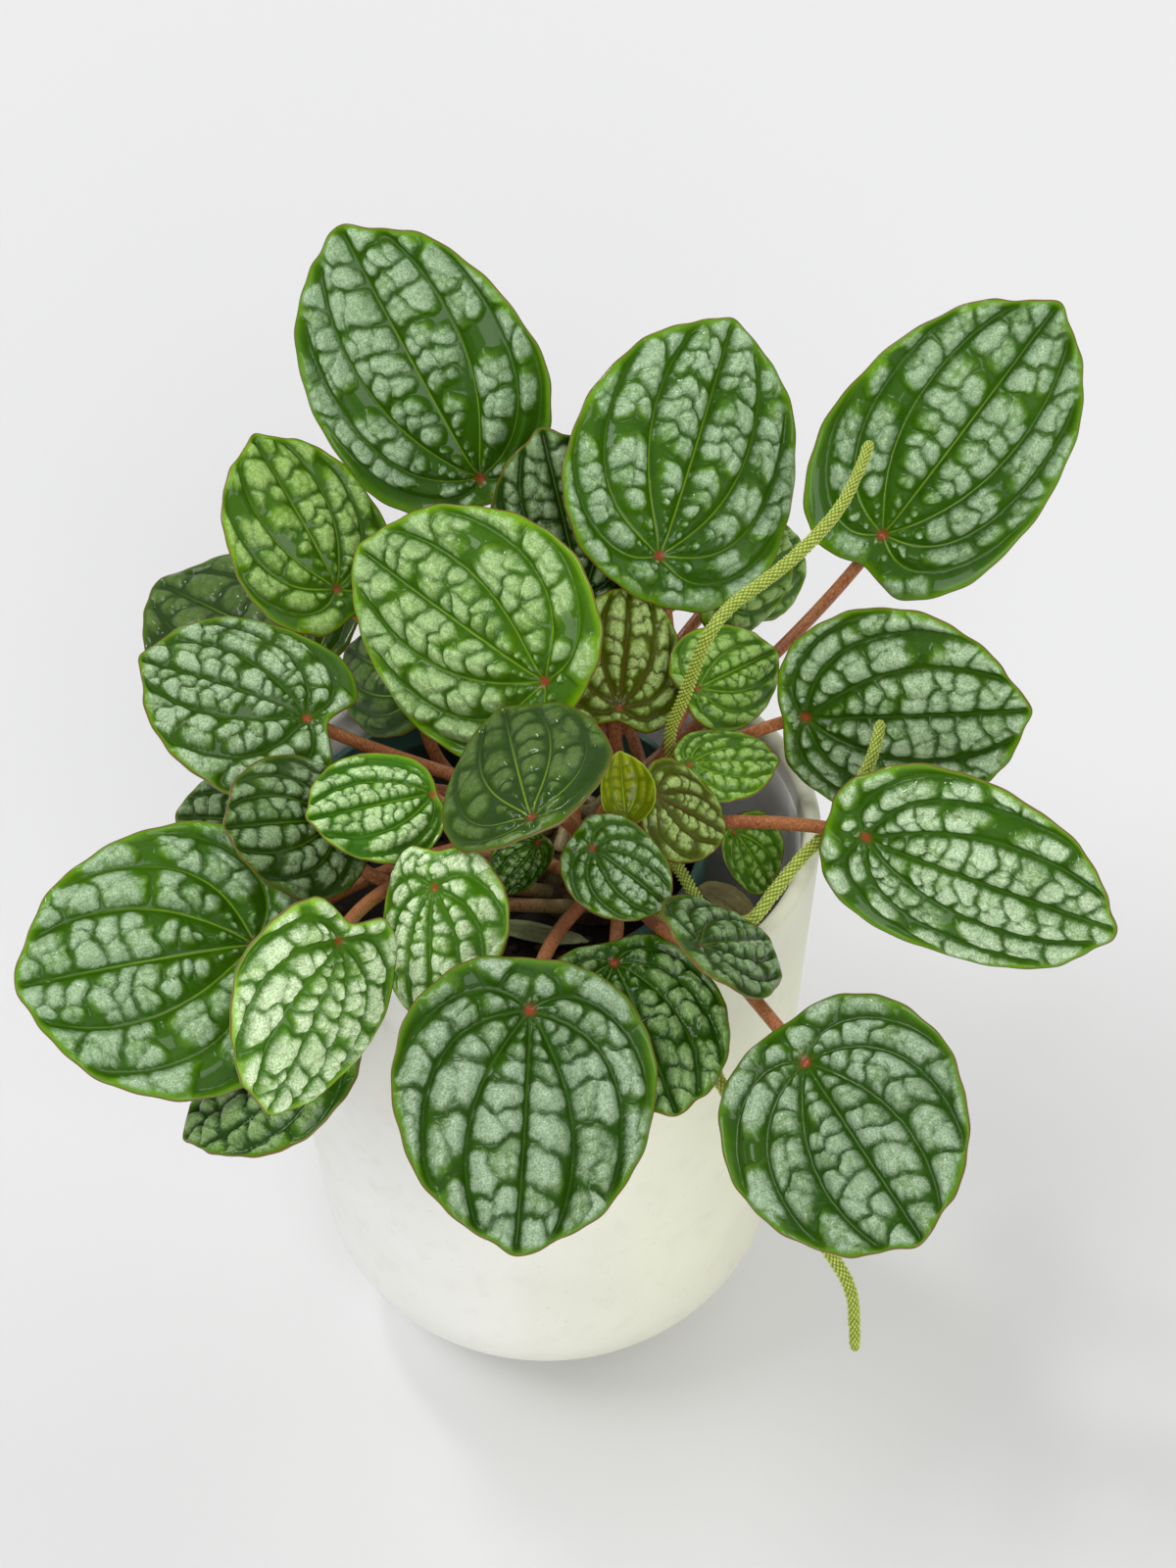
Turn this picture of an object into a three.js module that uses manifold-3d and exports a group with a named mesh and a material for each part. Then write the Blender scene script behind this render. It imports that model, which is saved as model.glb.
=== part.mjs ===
import * as THREE from "three";
import { mergeVertices } from "three/addons/utils/BufferGeometryUtils.js";
import Module from "manifold-3d";

// A potted Peperomia caperata: cachepot, nursery pot, soil, crown, stalked leaves and flower spikes.
// Units are millimetres, +Z is up, and the origin is the middle of the cachepot's flat foot.

// Cachepot
const POT_RIM_RADIUS = 65;
const POT_HEIGHT = 146;
const POT_BASE_RADIUS = 53.5; // where the slanted wall would meet the ground
const POT_FOOT_BEND = 37.5; // radius of the rounded bottom edge
const POT_WALL = 4.2;
const POT_FLOOR = 6;
const LEDGE_DEPTH = 5; // below the rim
const LEDGE_STEP = 0.7;

// Nursery pot, standing off centre in the cachepot
const NURSERY_CENTRE = [-8.8, 4.6];
const NURSERY_RIM_RADIUS = 48.5;
const NURSERY_BASE_RADIUS = 36;
const NURSERY_BASE_Z = 20.7;
const NURSERY_TOP_Z = 139;
const NURSERY_WALL = 1.3;
const NURSERY_BAND = 8; // height of the rim band
const NURSERY_BAND_STEP = 1.2;
const DRAIN_HOLES = 6;
const DRAIN_RADIUS = 3.5;
const DRAIN_RING = 20;

// Soil and crown
const SOIL_TOP_Z = 126;
const SOIL_EDGE_DROP = 2;
const CROWN_CENTRE = [14, 2];
const CROWN_RADIUS = 17.5;
const CROWN_HEIGHT = 14;
const SEAT_GAP = 0.3;

// Rings of stalks on the crown, from the middle outwards
const CROWN_RINGS = [
  { radius: 3.2, stalks: 3, turn: 0 },
  { radius: 8.2, stalks: 8, turn: 0.3 },
  { radius: 12.6, stalks: 12, turn: 0.1 },
  { radius: 16.2, stalks: 15, turn: 0.25 },
];

// Leaves and spikes
const BLADE_THICKNESS = 1;
const STALK_RADIUS = 1.35;
const SPIKE_RADIUS = 1.5;
const STALK_SIDES = 6;
const ROOT_DEPTH = 2.5; // how far a stalk would reach into the crown before it is trimmed
const STALK_STEP = 11; // length of one straight stretch of a stalk
const SPIKE_STEP = 6;
const SMALL_BLADE = 33; // blades shorter than this have fewer facets

// Blade outline, as shares of the blade and angles in radians
const TIP_SHARE = 0.05; // how far the tip is drawn out
const TIP_SPREAD = 0.22;
const SHOULDER_SPREAD = 0.5;
const OVAL = 0.13; // how much wider the blade is towards its base
const NOTCH_SPREAD = 0.3;
const LOBE_DROP = 1.5; // how far the lobes behind the stalk hang

// Leaves: at is where the stalk meets the blade. The heading is counted anticlockwise from +X seen from
// above, the pitch is the midrib's rise towards the tip, and the roll turns the blade about its midrib,
// in degrees. A stalk leaves the crown at its root, [ring, place], and bends towards its bend point.
const LEAVES = [
  {
    name: "back_left",
    tone: "green",
    at: [-13, 80, 184],
    heading: 142,
    pitch: 54,
    roll: 68,
    length: 67,
    width: 62,
    lobe: 7,
    notch: 0.1,
    curl: -2,
    droop: -3,
    root: [2, 1],
    bend: [34, 41, 129],
  },
  {
    name: "upper_left",
    tone: "green",
    at: [-45, 54, 173],
    heading: 130,
    pitch: 49,
    roll: -4,
    length: 40,
    width: 43,
    lobe: 11,
    notch: 0.3,
    curl: -3,
    droop: -4,
    root: [3, 3],
    bend: [-20, 56, 128],
  },
  {
    name: "outer_left_back",
    tone: "dark",
    at: [-53, 53, 153],
    heading: 138,
    pitch: 0,
    roll: 16,
    length: 55,
    width: 49,
    lobe: 6,
    notch: 0.3,
    curl: -3,
    droop: -4,
    root: [3, 4],
    bend: [-24, 41, 145],
  },
  {
    name: "left",
    tone: "green",
    at: [-49, 1, 177],
    heading: 171,
    pitch: 25,
    roll: 15,
    length: 38,
    width: 47,
    lobe: 12,
    notch: 0.6,
    curl: -6,
    droop: -6,
    root: [1, 2],
    bend: [-33, 12, 154],
  },
  {
    name: "inner_left_back",
    tone: "dark",
    at: [-26, 28, 162],
    heading: 135,
    pitch: -2,
    roll: 38,
    length: 28,
    width: 29,
    lobe: 6,
    notch: 0.3,
    curl: -3,
    droop: -4,
    root: [3, 5],
    bend: [-29, 28, 130],
  },
  {
    name: "centre_left",
    tone: "green",
    at: [2, 5, 181],
    heading: 142,
    pitch: 14,
    roll: 60,
    length: 55,
    width: 56,
    lobe: 12,
    notch: 0.2,
    curl: -6,
    droop: -4,
    root: [1, 5],
    bend: [8, 8, 159],
  },
  {
    name: "back_middle",
    tone: "green",
    at: [12, 47, 173],
    heading: 122,
    pitch: 68,
    roll: 25,
    length: 40,
    width: 36,
    lobe: 8,
    notch: 0.3,
    curl: -3,
    droop: -4,
    root: [1, 4],
    bend: [16, 24, 157],
  },
  {
    name: "back_centre",
    tone: "green",
    at: [31, 44, 187],
    heading: 64,
    pitch: 40,
    roll: -41,
    length: 58,
    width: 58,
    lobe: 12,
    notch: 0.05,
    curl: -5,
    droop: -4,
    root: [3, 1],
    bend: [36, 31, 144],
  },
  {
    name: "back_right",
    tone: "green",
    at: [82, 50, 186],
    heading: 22,
    pitch: 50,
    roll: -59,
    length: 65,
    width: 54,
    lobe: 14,
    notch: 0.4,
    curl: -5,
    droop: -4,
    root: [2, 3],
    bend: [60, 53, 148],
  },
  {
    name: "behind_right_a",
    tone: "dark",
    at: [44, 49, 174],
    heading: 37,
    pitch: -3,
    roll: -65,
    length: 26,
    width: 28,
    lobe: 8,
    notch: 0.3,
    curl: -3,
    droop: -4,
    root: [1, 1],
    bend: [8, 36, 172],
  },
  {
    name: "behind_right_b",
    tone: "dark",
    at: [49, 65, 165],
    heading: 45,
    pitch: -1,
    roll: -44,
    length: 26,
    width: 27,
    lobe: 6,
    notch: 0.3,
    curl: -3,
    droop: -4,
    root: [2, 4],
    bend: [31, 50, 156],
  },
  {
    name: "right",
    tone: "green",
    at: [61, 8, 166],
    heading: 343,
    pitch: 12,
    roll: -74,
    length: 50,
    width: 49,
    lobe: 8,
    notch: 0.4,
    curl: -5,
    droop: -4,
    root: [2, 2],
    bend: [41, 18, 154],
  },
  {
    name: "front_right",
    tone: "green",
    at: [70, -41, 172],
    heading: 334,
    pitch: -8,
    roll: -73,
    length: 55,
    width: 42,
    lobe: 11,
    notch: 0.2,
    curl: -5,
    droop: -4,
    root: [0, 0],
    bend: [52, -11, 156],
  },
  {
    name: "low_right",
    tone: "green",
    at: [54, -89, 156],
    heading: 294,
    pitch: -7,
    roll: -30,
    length: 47,
    width: 51,
    lobe: 11,
    notch: 0.1,
    curl: -3,
    droop: -4,
    root: [3, 12],
    bend: [24, -16, 148],
  },
  {
    name: "front",
    tone: "green",
    at: [0, -87, 170],
    heading: 266,
    pitch: -33,
    roll: 16,
    length: 48,
    width: 54,
    lobe: 12,
    notch: 0.15,
    curl: -4,
    droop: -5,
    root: [2, 10],
    bend: [2, -44, 157],
  },
  {
    name: "front_inner",
    tone: "green",
    at: [17, -60, 158],
    heading: 289,
    pitch: -11,
    roll: 4,
    length: 38,
    width: 39,
    lobe: 7,
    notch: 0.3,
    curl: -3,
    droop: -4,
    root: [1, 6],
    bend: [20, -24, 154],
  },
  {
    name: "front_small_right",
    tone: "dark",
    at: [35, -67, 168],
    heading: 48,
    pitch: -30,
    roll: -21,
    length: 27,
    width: 29,
    lobe: 7,
    notch: 0.1,
    curl: -2,
    droop: -2,
    root: [1, 7],
    bend: [16, -33, 147],
  },
  {
    name: "centre_front",
    tone: "green",
    at: [13, -43, 174],
    heading: 335,
    pitch: -29,
    roll: -23,
    length: 20,
    width: 22,
    lobe: 6,
    notch: 0.15,
    curl: -3,
    droop: -2,
    root: [2, 7],
    bend: [7, -30, 154],
  },
  {
    name: "centre_dark",
    tone: "dark",
    at: [0, -53, 192],
    heading: 100,
    pitch: -1,
    roll: 25,
    length: 39,
    width: 39,
    lobe: 6,
    notch: 0.1,
    curl: -4,
    droop: -3,
    root: [2, 9],
    bend: [9, -23, 171],
  },
  {
    name: "young_pointed",
    tone: "green",
    at: [35, -1, 162],
    heading: 6,
    pitch: 0,
    roll: -12,
    length: 20,
    width: 21,
    lobe: 4,
    notch: 0.3,
    curl: -2,
    droop: -2,
    root: [0, 1],
    bend: [24, 4, 158],
  },
  {
    name: "young_round",
    tone: "green",
    at: [27, -23, 171],
    heading: 15,
    pitch: -40,
    roll: -37,
    length: 22,
    width: 23,
    lobe: 4,
    notch: 0.3,
    curl: -3,
    droop: -2,
    root: [2, 8],
    bend: [14, -31, 154],
  },
  {
    name: "behind_centre",
    tone: "green",
    at: [20, 16, 165],
    heading: 80,
    pitch: 39,
    roll: -18,
    length: 29,
    width: 30,
    lobe: 7,
    notch: 0.5,
    curl: -4,
    droop: -4,
    root: [3, 2],
    bend: [16, 22, 156],
  },
  {
    name: "right_inner",
    tone: "green",
    at: [38, 20, 167],
    heading: 37,
    pitch: -1,
    roll: -41,
    length: 24,
    width: 25,
    lobe: 6,
    notch: 0.3,
    curl: -3,
    droop: -2,
    root: [2, 0],
    bend: [27, 14, 152],
  },
  {
    name: "gap_right",
    tone: "green",
    at: [45, -10, 149],
    heading: 340,
    pitch: -54,
    roll: -19,
    length: 17,
    width: 18,
    lobe: 3,
    notch: 0.3,
    curl: 2,
    droop: -2,
    root: [3, 14],
    bend: [38, -2, 145],
  },
  {
    name: "under_centre",
    tone: "dark",
    at: [1, -19, 155],
    heading: 225,
    pitch: -29,
    roll: 59,
    length: 14,
    width: 14,
    lobe: 3,
    notch: 0.3,
    curl: -3,
    droop: -2,
    root: [3, 8],
    bend: [-4, -9, 140],
  },
  {
    name: "front_left_quilted",
    tone: "bright",
    at: [-21, -52, 172],
    heading: 263,
    pitch: -41,
    roll: -21,
    length: 28,
    width: 30,
    lobe: 11,
    notch: 0.3,
    curl: -7,
    droop: -4,
    root: [3, 9],
    bend: [-23, -32, 157],
  },
  {
    name: "mid_left_small",
    tone: "green",
    at: [-21, -21, 172],
    heading: 210,
    pitch: 13,
    roll: 27,
    length: 30,
    width: 27,
    lobe: 2,
    notch: 0.5,
    curl: -3,
    droop: -2,
    root: [2, 5],
    bend: [-11, -20, 158],
  },
  {
    name: "left_dark",
    tone: "dark",
    at: [-42, -27, 170],
    heading: 216,
    pitch: 27,
    roll: 40,
    length: 27,
    width: 33,
    lobe: 10,
    notch: 0.3,
    curl: -5,
    droop: -4,
    root: [3, 11],
    bend: [-43, -33, 148],
  },
  {
    name: "left_hidden",
    tone: "dark",
    at: [-55, -13, 158],
    heading: 160,
    pitch: -9,
    roll: 33,
    length: 29,
    width: 31,
    lobe: 6,
    notch: 0.3,
    curl: -3,
    droop: -4,
    root: [1, 3],
    bend: [-37, 22, 149],
  },
  {
    name: "low_left",
    tone: "green",
    at: [-59, -51, 157],
    heading: 194,
    pitch: 3,
    roll: 32,
    length: 50,
    width: 61,
    lobe: 14,
    notch: 0.2,
    curl: -6,
    droop: -6,
    root: [3, 6],
    bend: [-31, -8, 147],
  },
  {
    name: "front_left",
    tone: "bright",
    at: [-38, -71, 174],
    heading: 242,
    pitch: -43,
    roll: 68,
    length: 37,
    width: 42,
    lobe: 10,
    notch: 0.55,
    curl: -4,
    droop: -5,
    root: [3, 7],
    bend: [-33, -19, 152],
  },
  {
    name: "lowest_left",
    tone: "dark",
    at: [-45, -65, 141],
    heading: 197,
    pitch: -21,
    roll: -6,
    length: 36,
    width: 38,
    lobe: 8,
    notch: 0.3,
    curl: -5,
    droop: -5,
    root: [2, 6],
    bend: [-30, -42, 163],
  },
  {
    name: "young_folded",
    tone: "bright",
    at: [20, -30, 171],
    heading: 95,
    pitch: 48,
    roll: -8,
    length: 14,
    width: 12,
    lobe: 2,
    notch: 0.1,
    curl: 5,
    droop: 0,
    root: [0, 2],
    bend: [21, 1, 162],
  },
];

// Flower spikes, each through the points of its own route.
const SPIKES = [
  {
    name: "right",
    root: [3, 0],
    through: [
      [33, 6, 141],
      [32, 8, 152],
      [31, 8, 163],
      [34, 6, 175],
      [40, 3, 196],
      [45, 7, 200],
      [52, 11, 203],
      [60, 16, 207],
      [69, 25, 212],
      [74, 34, 216],
      [77, 41, 219],
    ],
  },
  {
    name: "middle",
    root: [2, 11],
    through: [
      [31, -18, 147],
      [38, -36, 148],
      [46, -41, 150],
      [52, -36, 154],
      [58, -30, 158],
      [67, -22, 162],
      [72, -15, 167],
      [75, -11, 172],
      [77, -5, 176],
    ],
  },
  {
    name: "low",
    root: [3, 13],
    through: [
      [26, -32, 153],
      [28, -48, 151],
      [32, -63, 145],
      [38, -73, 135],
      [44, -79, 126],
      [52, -86, 113],
      [61, -91, 100],
      [66, -94, 90],
      [67, -100, 77],
    ],
  },
];

// Loose leaves: one in the gap between the pots, one lying on the soil.
const LOOSE_LEAVES = [
  {
    name: "fallen_leaf",
    tone: "dried",
    at: [37, -18, 139],
    heading: 317,
    pitch: 2,
    roll: 10,
    length: 17,
    width: 8,
    lobe: 2,
    notch: 0,
    curl: 2,
    droop: -2,
  },
  {
    name: "wilted_leaf",
    tone: "wilted",
    at: [-9, -16, 128.3],
    heading: 342,
    pitch: 0,
    roll: 0,
    length: 21,
    width: 6,
    lobe: 1.5,
    notch: 0,
    curl: -0.4,
    droop: 0,
  },
];

const POT_COLOUR = 0xe9e7df;
const NURSERY_COLOUR = 0x2f4a3c;
const SOIL_COLOUR = 0x2a211b;
const CROWN_COLOUR = 0x6d4a30;
const SPIKE_COLOUR = 0x98a04a;
const LEAF_COLOURS = { green: 0x4c7a3a, dark: 0x2c5230, bright: 0x86a83e, dried: 0x8a8560, wilted: 0xa9b27c };

const wasm = await Module();
wasm.setup();
const part = new THREE.Group();

// A closed geometry as a solid that can be joined and cut.
function solidOf(geometry) {
  const bare = geometry.index ? geometry.toNonIndexed() : geometry.clone();
  bare.deleteAttribute("normal");
  bare.deleteAttribute("uv");
  const merged = mergeVertices(bare, 1e-4);
  return new wasm.Manifold(
    new wasm.Mesh({
      numProp: 3,
      vertProperties: merged.attributes.position.array,
      triVerts: new Uint32Array(merged.index.array),
    }),
  );
}

function geometryOf(solid) {
  const mesh = solid.getMesh();
  const geometry = new THREE.BufferGeometry();
  const stride = mesh.numProp;
  const positions = new Float32Array(mesh.numVert * 3);
  for (let i = 0; i < mesh.numVert; i++) {
    positions.set(mesh.vertProperties.subarray(i * stride, i * stride + 3), i * 3);
  }
  geometry.setAttribute("position", new THREE.BufferAttribute(positions, 3));
  geometry.setIndex(new THREE.BufferAttribute(mesh.triVerts, 1));
  geometry.computeVertexNormals();
  return geometry;
}

function addPiece(name, geometry, colour, roughness) {
  const material = new THREE.MeshStandardMaterial({ color: colour, roughness, metalness: 0 });
  const mesh = new THREE.Mesh(geometry, material);
  mesh.name = name;
  part.add(mesh);
}

// A solid of revolution about +Z from [radius, height] points.
function turned(points, segments) {
  const profile = points.map(([radius, height]) => new THREE.Vector2(radius, height));
  const geometry = new THREE.LatheGeometry(profile, segments);
  geometry.rotateX(Math.PI / 2);
  return geometry;
}

// Points of an arc of a profile, from one angle to another in degrees.
function arc(centreRadius, centreHeight, radius, from, to, steps) {
  const points = [];
  for (let i = 0; i <= steps; i++) {
    const angle = THREE.MathUtils.degToRad(from + ((to - from) * i) / steps);
    points.push([centreRadius + radius * Math.cos(angle), centreHeight + radius * Math.sin(angle)]);
  }
  return points;
}

function cachepot() {
  const slope = (POT_RIM_RADIUS - POT_BASE_RADIUS) / POT_HEIGHT;
  const tilt = THREE.MathUtils.radToDeg(Math.atan(slope));
  const stretch = Math.hypot(1, slope);
  const bendCentre = POT_BASE_RADIUS + slope * POT_FOOT_BEND - POT_FOOT_BEND * stretch;
  const lip = POT_WALL / 2;
  const innerBend = POT_FOOT_BEND - POT_WALL;
  const innerRadiusAt = (height) => POT_BASE_RADIUS + slope * height - POT_WALL * stretch;
  const innerBendCentre = innerRadiusAt(POT_FLOOR + innerBend) - innerBend * stretch;
  const ledgeHeight = POT_HEIGHT - LEDGE_DEPTH;
  return turned(
    [
      [0, 0],
      ...arc(bendCentre, POT_FOOT_BEND, POT_FOOT_BEND, -90, -tilt, 7),
      ...arc(POT_RIM_RADIUS - lip, POT_HEIGHT - lip, lip, 0, 180, 6),
      [innerRadiusAt(ledgeHeight), ledgeHeight],
      [innerRadiusAt(ledgeHeight) - LEDGE_STEP, ledgeHeight - LEDGE_STEP],
      ...arc(innerBendCentre - LEDGE_STEP, POT_FLOOR + innerBend, innerBend, -tilt, -90, 5),
      [0, POT_FLOOR],
    ],
    32,
  );
}

// Radius of the nursery pot's outside at a height.
function nurseryRadius(height) {
  const share = (height - NURSERY_BASE_Z) / (NURSERY_TOP_Z - NURSERY_BASE_Z);
  return NURSERY_BASE_RADIUS + share * (NURSERY_RIM_RADIUS - NURSERY_BAND_STEP - NURSERY_BASE_RADIUS);
}

function nurseryPot() {
  const bandZ = NURSERY_TOP_Z - NURSERY_BAND;
  const floorZ = NURSERY_BASE_Z + NURSERY_WALL;
  const cup = solidOf(
    turned(
      [
        [0, NURSERY_BASE_Z],
        [NURSERY_BASE_RADIUS - 1, NURSERY_BASE_Z],
        [NURSERY_BASE_RADIUS, NURSERY_BASE_Z + 1],
        [nurseryRadius(bandZ), bandZ],
        [NURSERY_RIM_RADIUS, bandZ + 0.5],
        [NURSERY_RIM_RADIUS, NURSERY_TOP_Z - 0.5],
        [NURSERY_RIM_RADIUS - 0.7, NURSERY_TOP_Z],
        [NURSERY_RIM_RADIUS - NURSERY_WALL - 0.7, NURSERY_TOP_Z],
        [nurseryRadius(bandZ) - NURSERY_WALL, bandZ - 1],
        [nurseryRadius(floorZ) - NURSERY_WALL, floorZ],
        [0, floorZ],
      ],
      32,
    ),
  );
  let pot = cup;
  for (let i = 0; i < DRAIN_HOLES; i++) {
    const angle = (2 * Math.PI * i) / DRAIN_HOLES;
    const drill = new THREE.CylinderGeometry(DRAIN_RADIUS, DRAIN_RADIUS, 4 * NURSERY_WALL, 12);
    drill.rotateX(Math.PI / 2);
    drill.translate(DRAIN_RING * Math.cos(angle), DRAIN_RING * Math.sin(angle), NURSERY_BASE_Z);
    pot = pot.subtract(solidOf(drill));
  }
  return geometryOf(pot).translate(...NURSERY_CENTRE, 0);
}

function soil() {
  const floorZ = NURSERY_BASE_Z + NURSERY_WALL + SEAT_GAP;
  const edgeZ = SOIL_TOP_Z - SOIL_EDGE_DROP;
  const inside = (height) => nurseryRadius(height) - NURSERY_WALL - 2 * SEAT_GAP;
  return turned(
    [
      [0, floorZ],
      [inside(floorZ), floorZ],
      [inside(edgeZ), edgeZ],
      [inside(edgeZ) - 5, SOIL_TOP_Z - 0.6],
      [inside(edgeZ) - 9, SOIL_TOP_Z],
      [0, SOIL_TOP_Z],
    ],
    24,
  ).translate(...NURSERY_CENTRE, 0);
}

// The crown is a low dome. A grown copy of it trims the stalks so that they seat with a gap.
function crown(grow) {
  const baseZ = SOIL_TOP_Z + SEAT_GAP - grow;
  const points = [[0, baseZ]];
  const steps = 5;
  for (let i = 0; i <= steps; i++) {
    const angle = (Math.PI / 2) * (i / steps);
    const radius = i === steps ? 0 : (CROWN_RADIUS + grow) * Math.cos(angle);
    points.push([radius, baseZ + grow + (CROWN_HEIGHT + grow) * Math.sin(angle)]);
  }
  return turned(points, 20).translate(...CROWN_CENTRE, 0);
}

// Where a stalk leaves the crown.
function rootPoint([ringNumber, place]) {
  const ring = CROWN_RINGS[ringNumber];
  const angle = (2 * Math.PI * (place + ring.turn)) / ring.stalks;
  const share = Math.sqrt(1 - (ring.radius / CROWN_RADIUS) ** 2);
  return new THREE.Vector3(
    CROWN_CENTRE[0] + ring.radius * Math.cos(angle),
    CROWN_CENTRE[1] + ring.radius * Math.sin(angle),
    SOIL_TOP_Z + SEAT_GAP + CROWN_HEIGHT * share,
  );
}

// A leaf's own axes: along the midrib, across the blade and out of its upper face.
function leafAxes({ heading, pitch, roll }) {
  const [h, p, r] = [heading, pitch, roll].map(THREE.MathUtils.degToRad);
  const along = new THREE.Vector3(Math.cos(h) * Math.cos(p), Math.sin(h) * Math.cos(p), Math.sin(p));
  const level = new THREE.Vector3(Math.sin(h), -Math.cos(h), 0);
  const upright = new THREE.Vector3().crossVectors(level, along);
  const across = level.clone().multiplyScalar(Math.cos(r)).addScaledVector(upright, Math.sin(r));
  const out = upright.multiplyScalar(Math.cos(r)).addScaledVector(level, -Math.sin(r));
  return { along, across, out };
}

// The blade's edge: angle 0 is the tip, 180 degrees the notch behind the stalk.
function bladeEdge({ length, width, lobe, notch }, angle) {
  const peak = Math.exp(-((angle / TIP_SPREAD) ** 2));
  const shoulder = Math.exp(-((angle / SHOULDER_SPREAD) ** 2));
  const fromNotch = (Math.abs(angle) - Math.PI) / NOTCH_SPREAD;
  const oval = (length - lobe) / 2 + ((length + lobe) / 2) * Math.cos(angle);
  const tip = TIP_SHARE * length * (peak - shoulder / 2);
  const x = (width / 2) * Math.sin(angle) * (1 - OVAL * Math.cos(angle));
  return [x, oval + tip + lobe * notch * Math.exp(-(fromNotch ** 2))];
}

// Height of the blade above the plane at its stalk.
function bladeHeight({ length, width, lobe, curl, droop }, x, y) {
  const side = curl * ((2 * x) / width) ** 2;
  const end = y > 0 ? droop * (y / length) ** 2 : -LOBE_DROP * (y / lobe) ** 2;
  return side + end;
}

// The blade as a closed shell of rings about the stalk, seen from above and below.
function blade(leaf, axes) {
  const small = leaf.length < SMALL_BLADE;
  const spokes = small ? 14 : 18;
  const rings = small ? 2 : 3;
  const at = new THREE.Vector3(...leaf.at);
  const positions = [];
  const index = [];
  const place = (x, y, lift) => {
    const height = bladeHeight(leaf, x, y) + lift;
    const point = at.clone().addScaledVector(axes.across, x).addScaledVector(axes.along, y);
    positions.push(...point.addScaledVector(axes.out, height).toArray());
  };
  for (const lift of [BLADE_THICKNESS / 2, -BLADE_THICKNESS / 2]) {
    place(0, 0, lift);
    for (let ring = 1; ring <= rings; ring++) {
      for (let spoke = 0; spoke < spokes; spoke++) {
        const [x, y] = bladeEdge(leaf, ((2 * spoke) / spokes) * Math.PI - Math.PI);
        place((x * ring) / rings, (y * ring) / rings, lift);
      }
    }
  }
  const side = 1 + rings * spokes;
  for (let spoke = 0; spoke < spokes; spoke++) {
    const next = (spoke + 1) % spokes;
    for (const [start, flip] of [
      [0, false],
      [side, true],
    ]) {
      const face = (a, b, c) => index.push(...(flip ? [a, c, b] : [a, b, c]));
      face(start, start + 1 + next, start + 1 + spoke);
      for (let ring = 1; ring < rings; ring++) {
        const inner = start + 1 + (ring - 1) * spokes;
        const outer = inner + spokes;
        face(inner + spoke, inner + next, outer + spoke);
        face(inner + next, outer + next, outer + spoke);
      }
    }
    const upper = 1 + (rings - 1) * spokes;
    const lower = upper + side;
    index.push(upper + spoke, upper + next, lower + spoke);
    index.push(upper + next, lower + next, lower + spoke);
  }
  const geometry = new THREE.BufferGeometry();
  geometry.setAttribute("position", new THREE.Float32BufferAttribute(positions, 3));
  geometry.setIndex(index);
  return geometry;
}

// A round rod along a curve.
function rod(curve, radius, sides, steps) {
  const section = new THREE.Shape();
  for (let i = 0; i < sides; i++) {
    const angle = (2 * Math.PI * i) / sides;
    const [x, y] = [radius * Math.cos(angle), radius * Math.sin(angle)];
    if (i === 0) section.moveTo(x, y);
    else section.lineTo(x, y);
  }
  section.closePath();
  return new THREE.ExtrudeGeometry(section, { steps, extrudePath: curve, bevelEnabled: false });
}

const trim = solidOf(crown(SEAT_GAP));

function leaf(row) {
  const axes = leafAxes(row);
  const root = rootPoint(row.root);
  const bend = new THREE.Vector3(...row.bend);
  const toBend = bend.clone().sub(root).normalize();
  const start = root.addScaledVector(toBend, -ROOT_DEPTH);
  const end = new THREE.Vector3(...row.at).addScaledVector(axes.out, -0.2);
  const curve = new THREE.QuadraticBezierCurve3(start, bend, end);
  const steps = Math.max(4, Math.round(curve.getLength() / STALK_STEP));
  const stalk = solidOf(rod(curve, STALK_RADIUS, STALK_SIDES, steps)).subtract(trim);
  return geometryOf(solidOf(blade(row, axes)).add(stalk));
}

function spike(row) {
  const root = rootPoint(row.root);
  const first = new THREE.Vector3(...row.through[0]);
  const start = root.clone().addScaledVector(first.sub(root).normalize(), -ROOT_DEPTH);
  const points = [start, ...row.through.map((point) => new THREE.Vector3(...point))];
  const curve = new THREE.CatmullRomCurve3(points);
  const steps = Math.round(curve.getLength() / SPIKE_STEP);
  return geometryOf(solidOf(rod(curve, SPIKE_RADIUS, STALK_SIDES, steps)).subtract(trim));
}

addPiece("cachepot", cachepot(), POT_COLOUR, 0.55);
addPiece("nursery_pot", nurseryPot(), NURSERY_COLOUR, 0.5);
addPiece("soil", soil(), SOIL_COLOUR, 1);
addPiece("crown", crown(0), CROWN_COLOUR, 0.8);
for (const row of LEAVES) {
  addPiece("leaf_" + row.name, leaf(row), LEAF_COLOURS[row.tone], 0.45);
}
for (const row of LOOSE_LEAVES) {
  addPiece(row.name, blade(row, leafAxes(row)), LEAF_COLOURS[row.tone], 0.8);
}
for (const row of SPIKES) {
  addPiece("flower_spike_" + row.name, spike(row), SPIKE_COLOUR, 0.6);
}

export default part;
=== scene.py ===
from collections import namedtuple
from math import atan, cos, degrees, dist, hypot, pi, radians, sin, sqrt

import bpy
import numpy as np
from mathutils import Matrix, Vector
from numpy.linalg import norm


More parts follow.
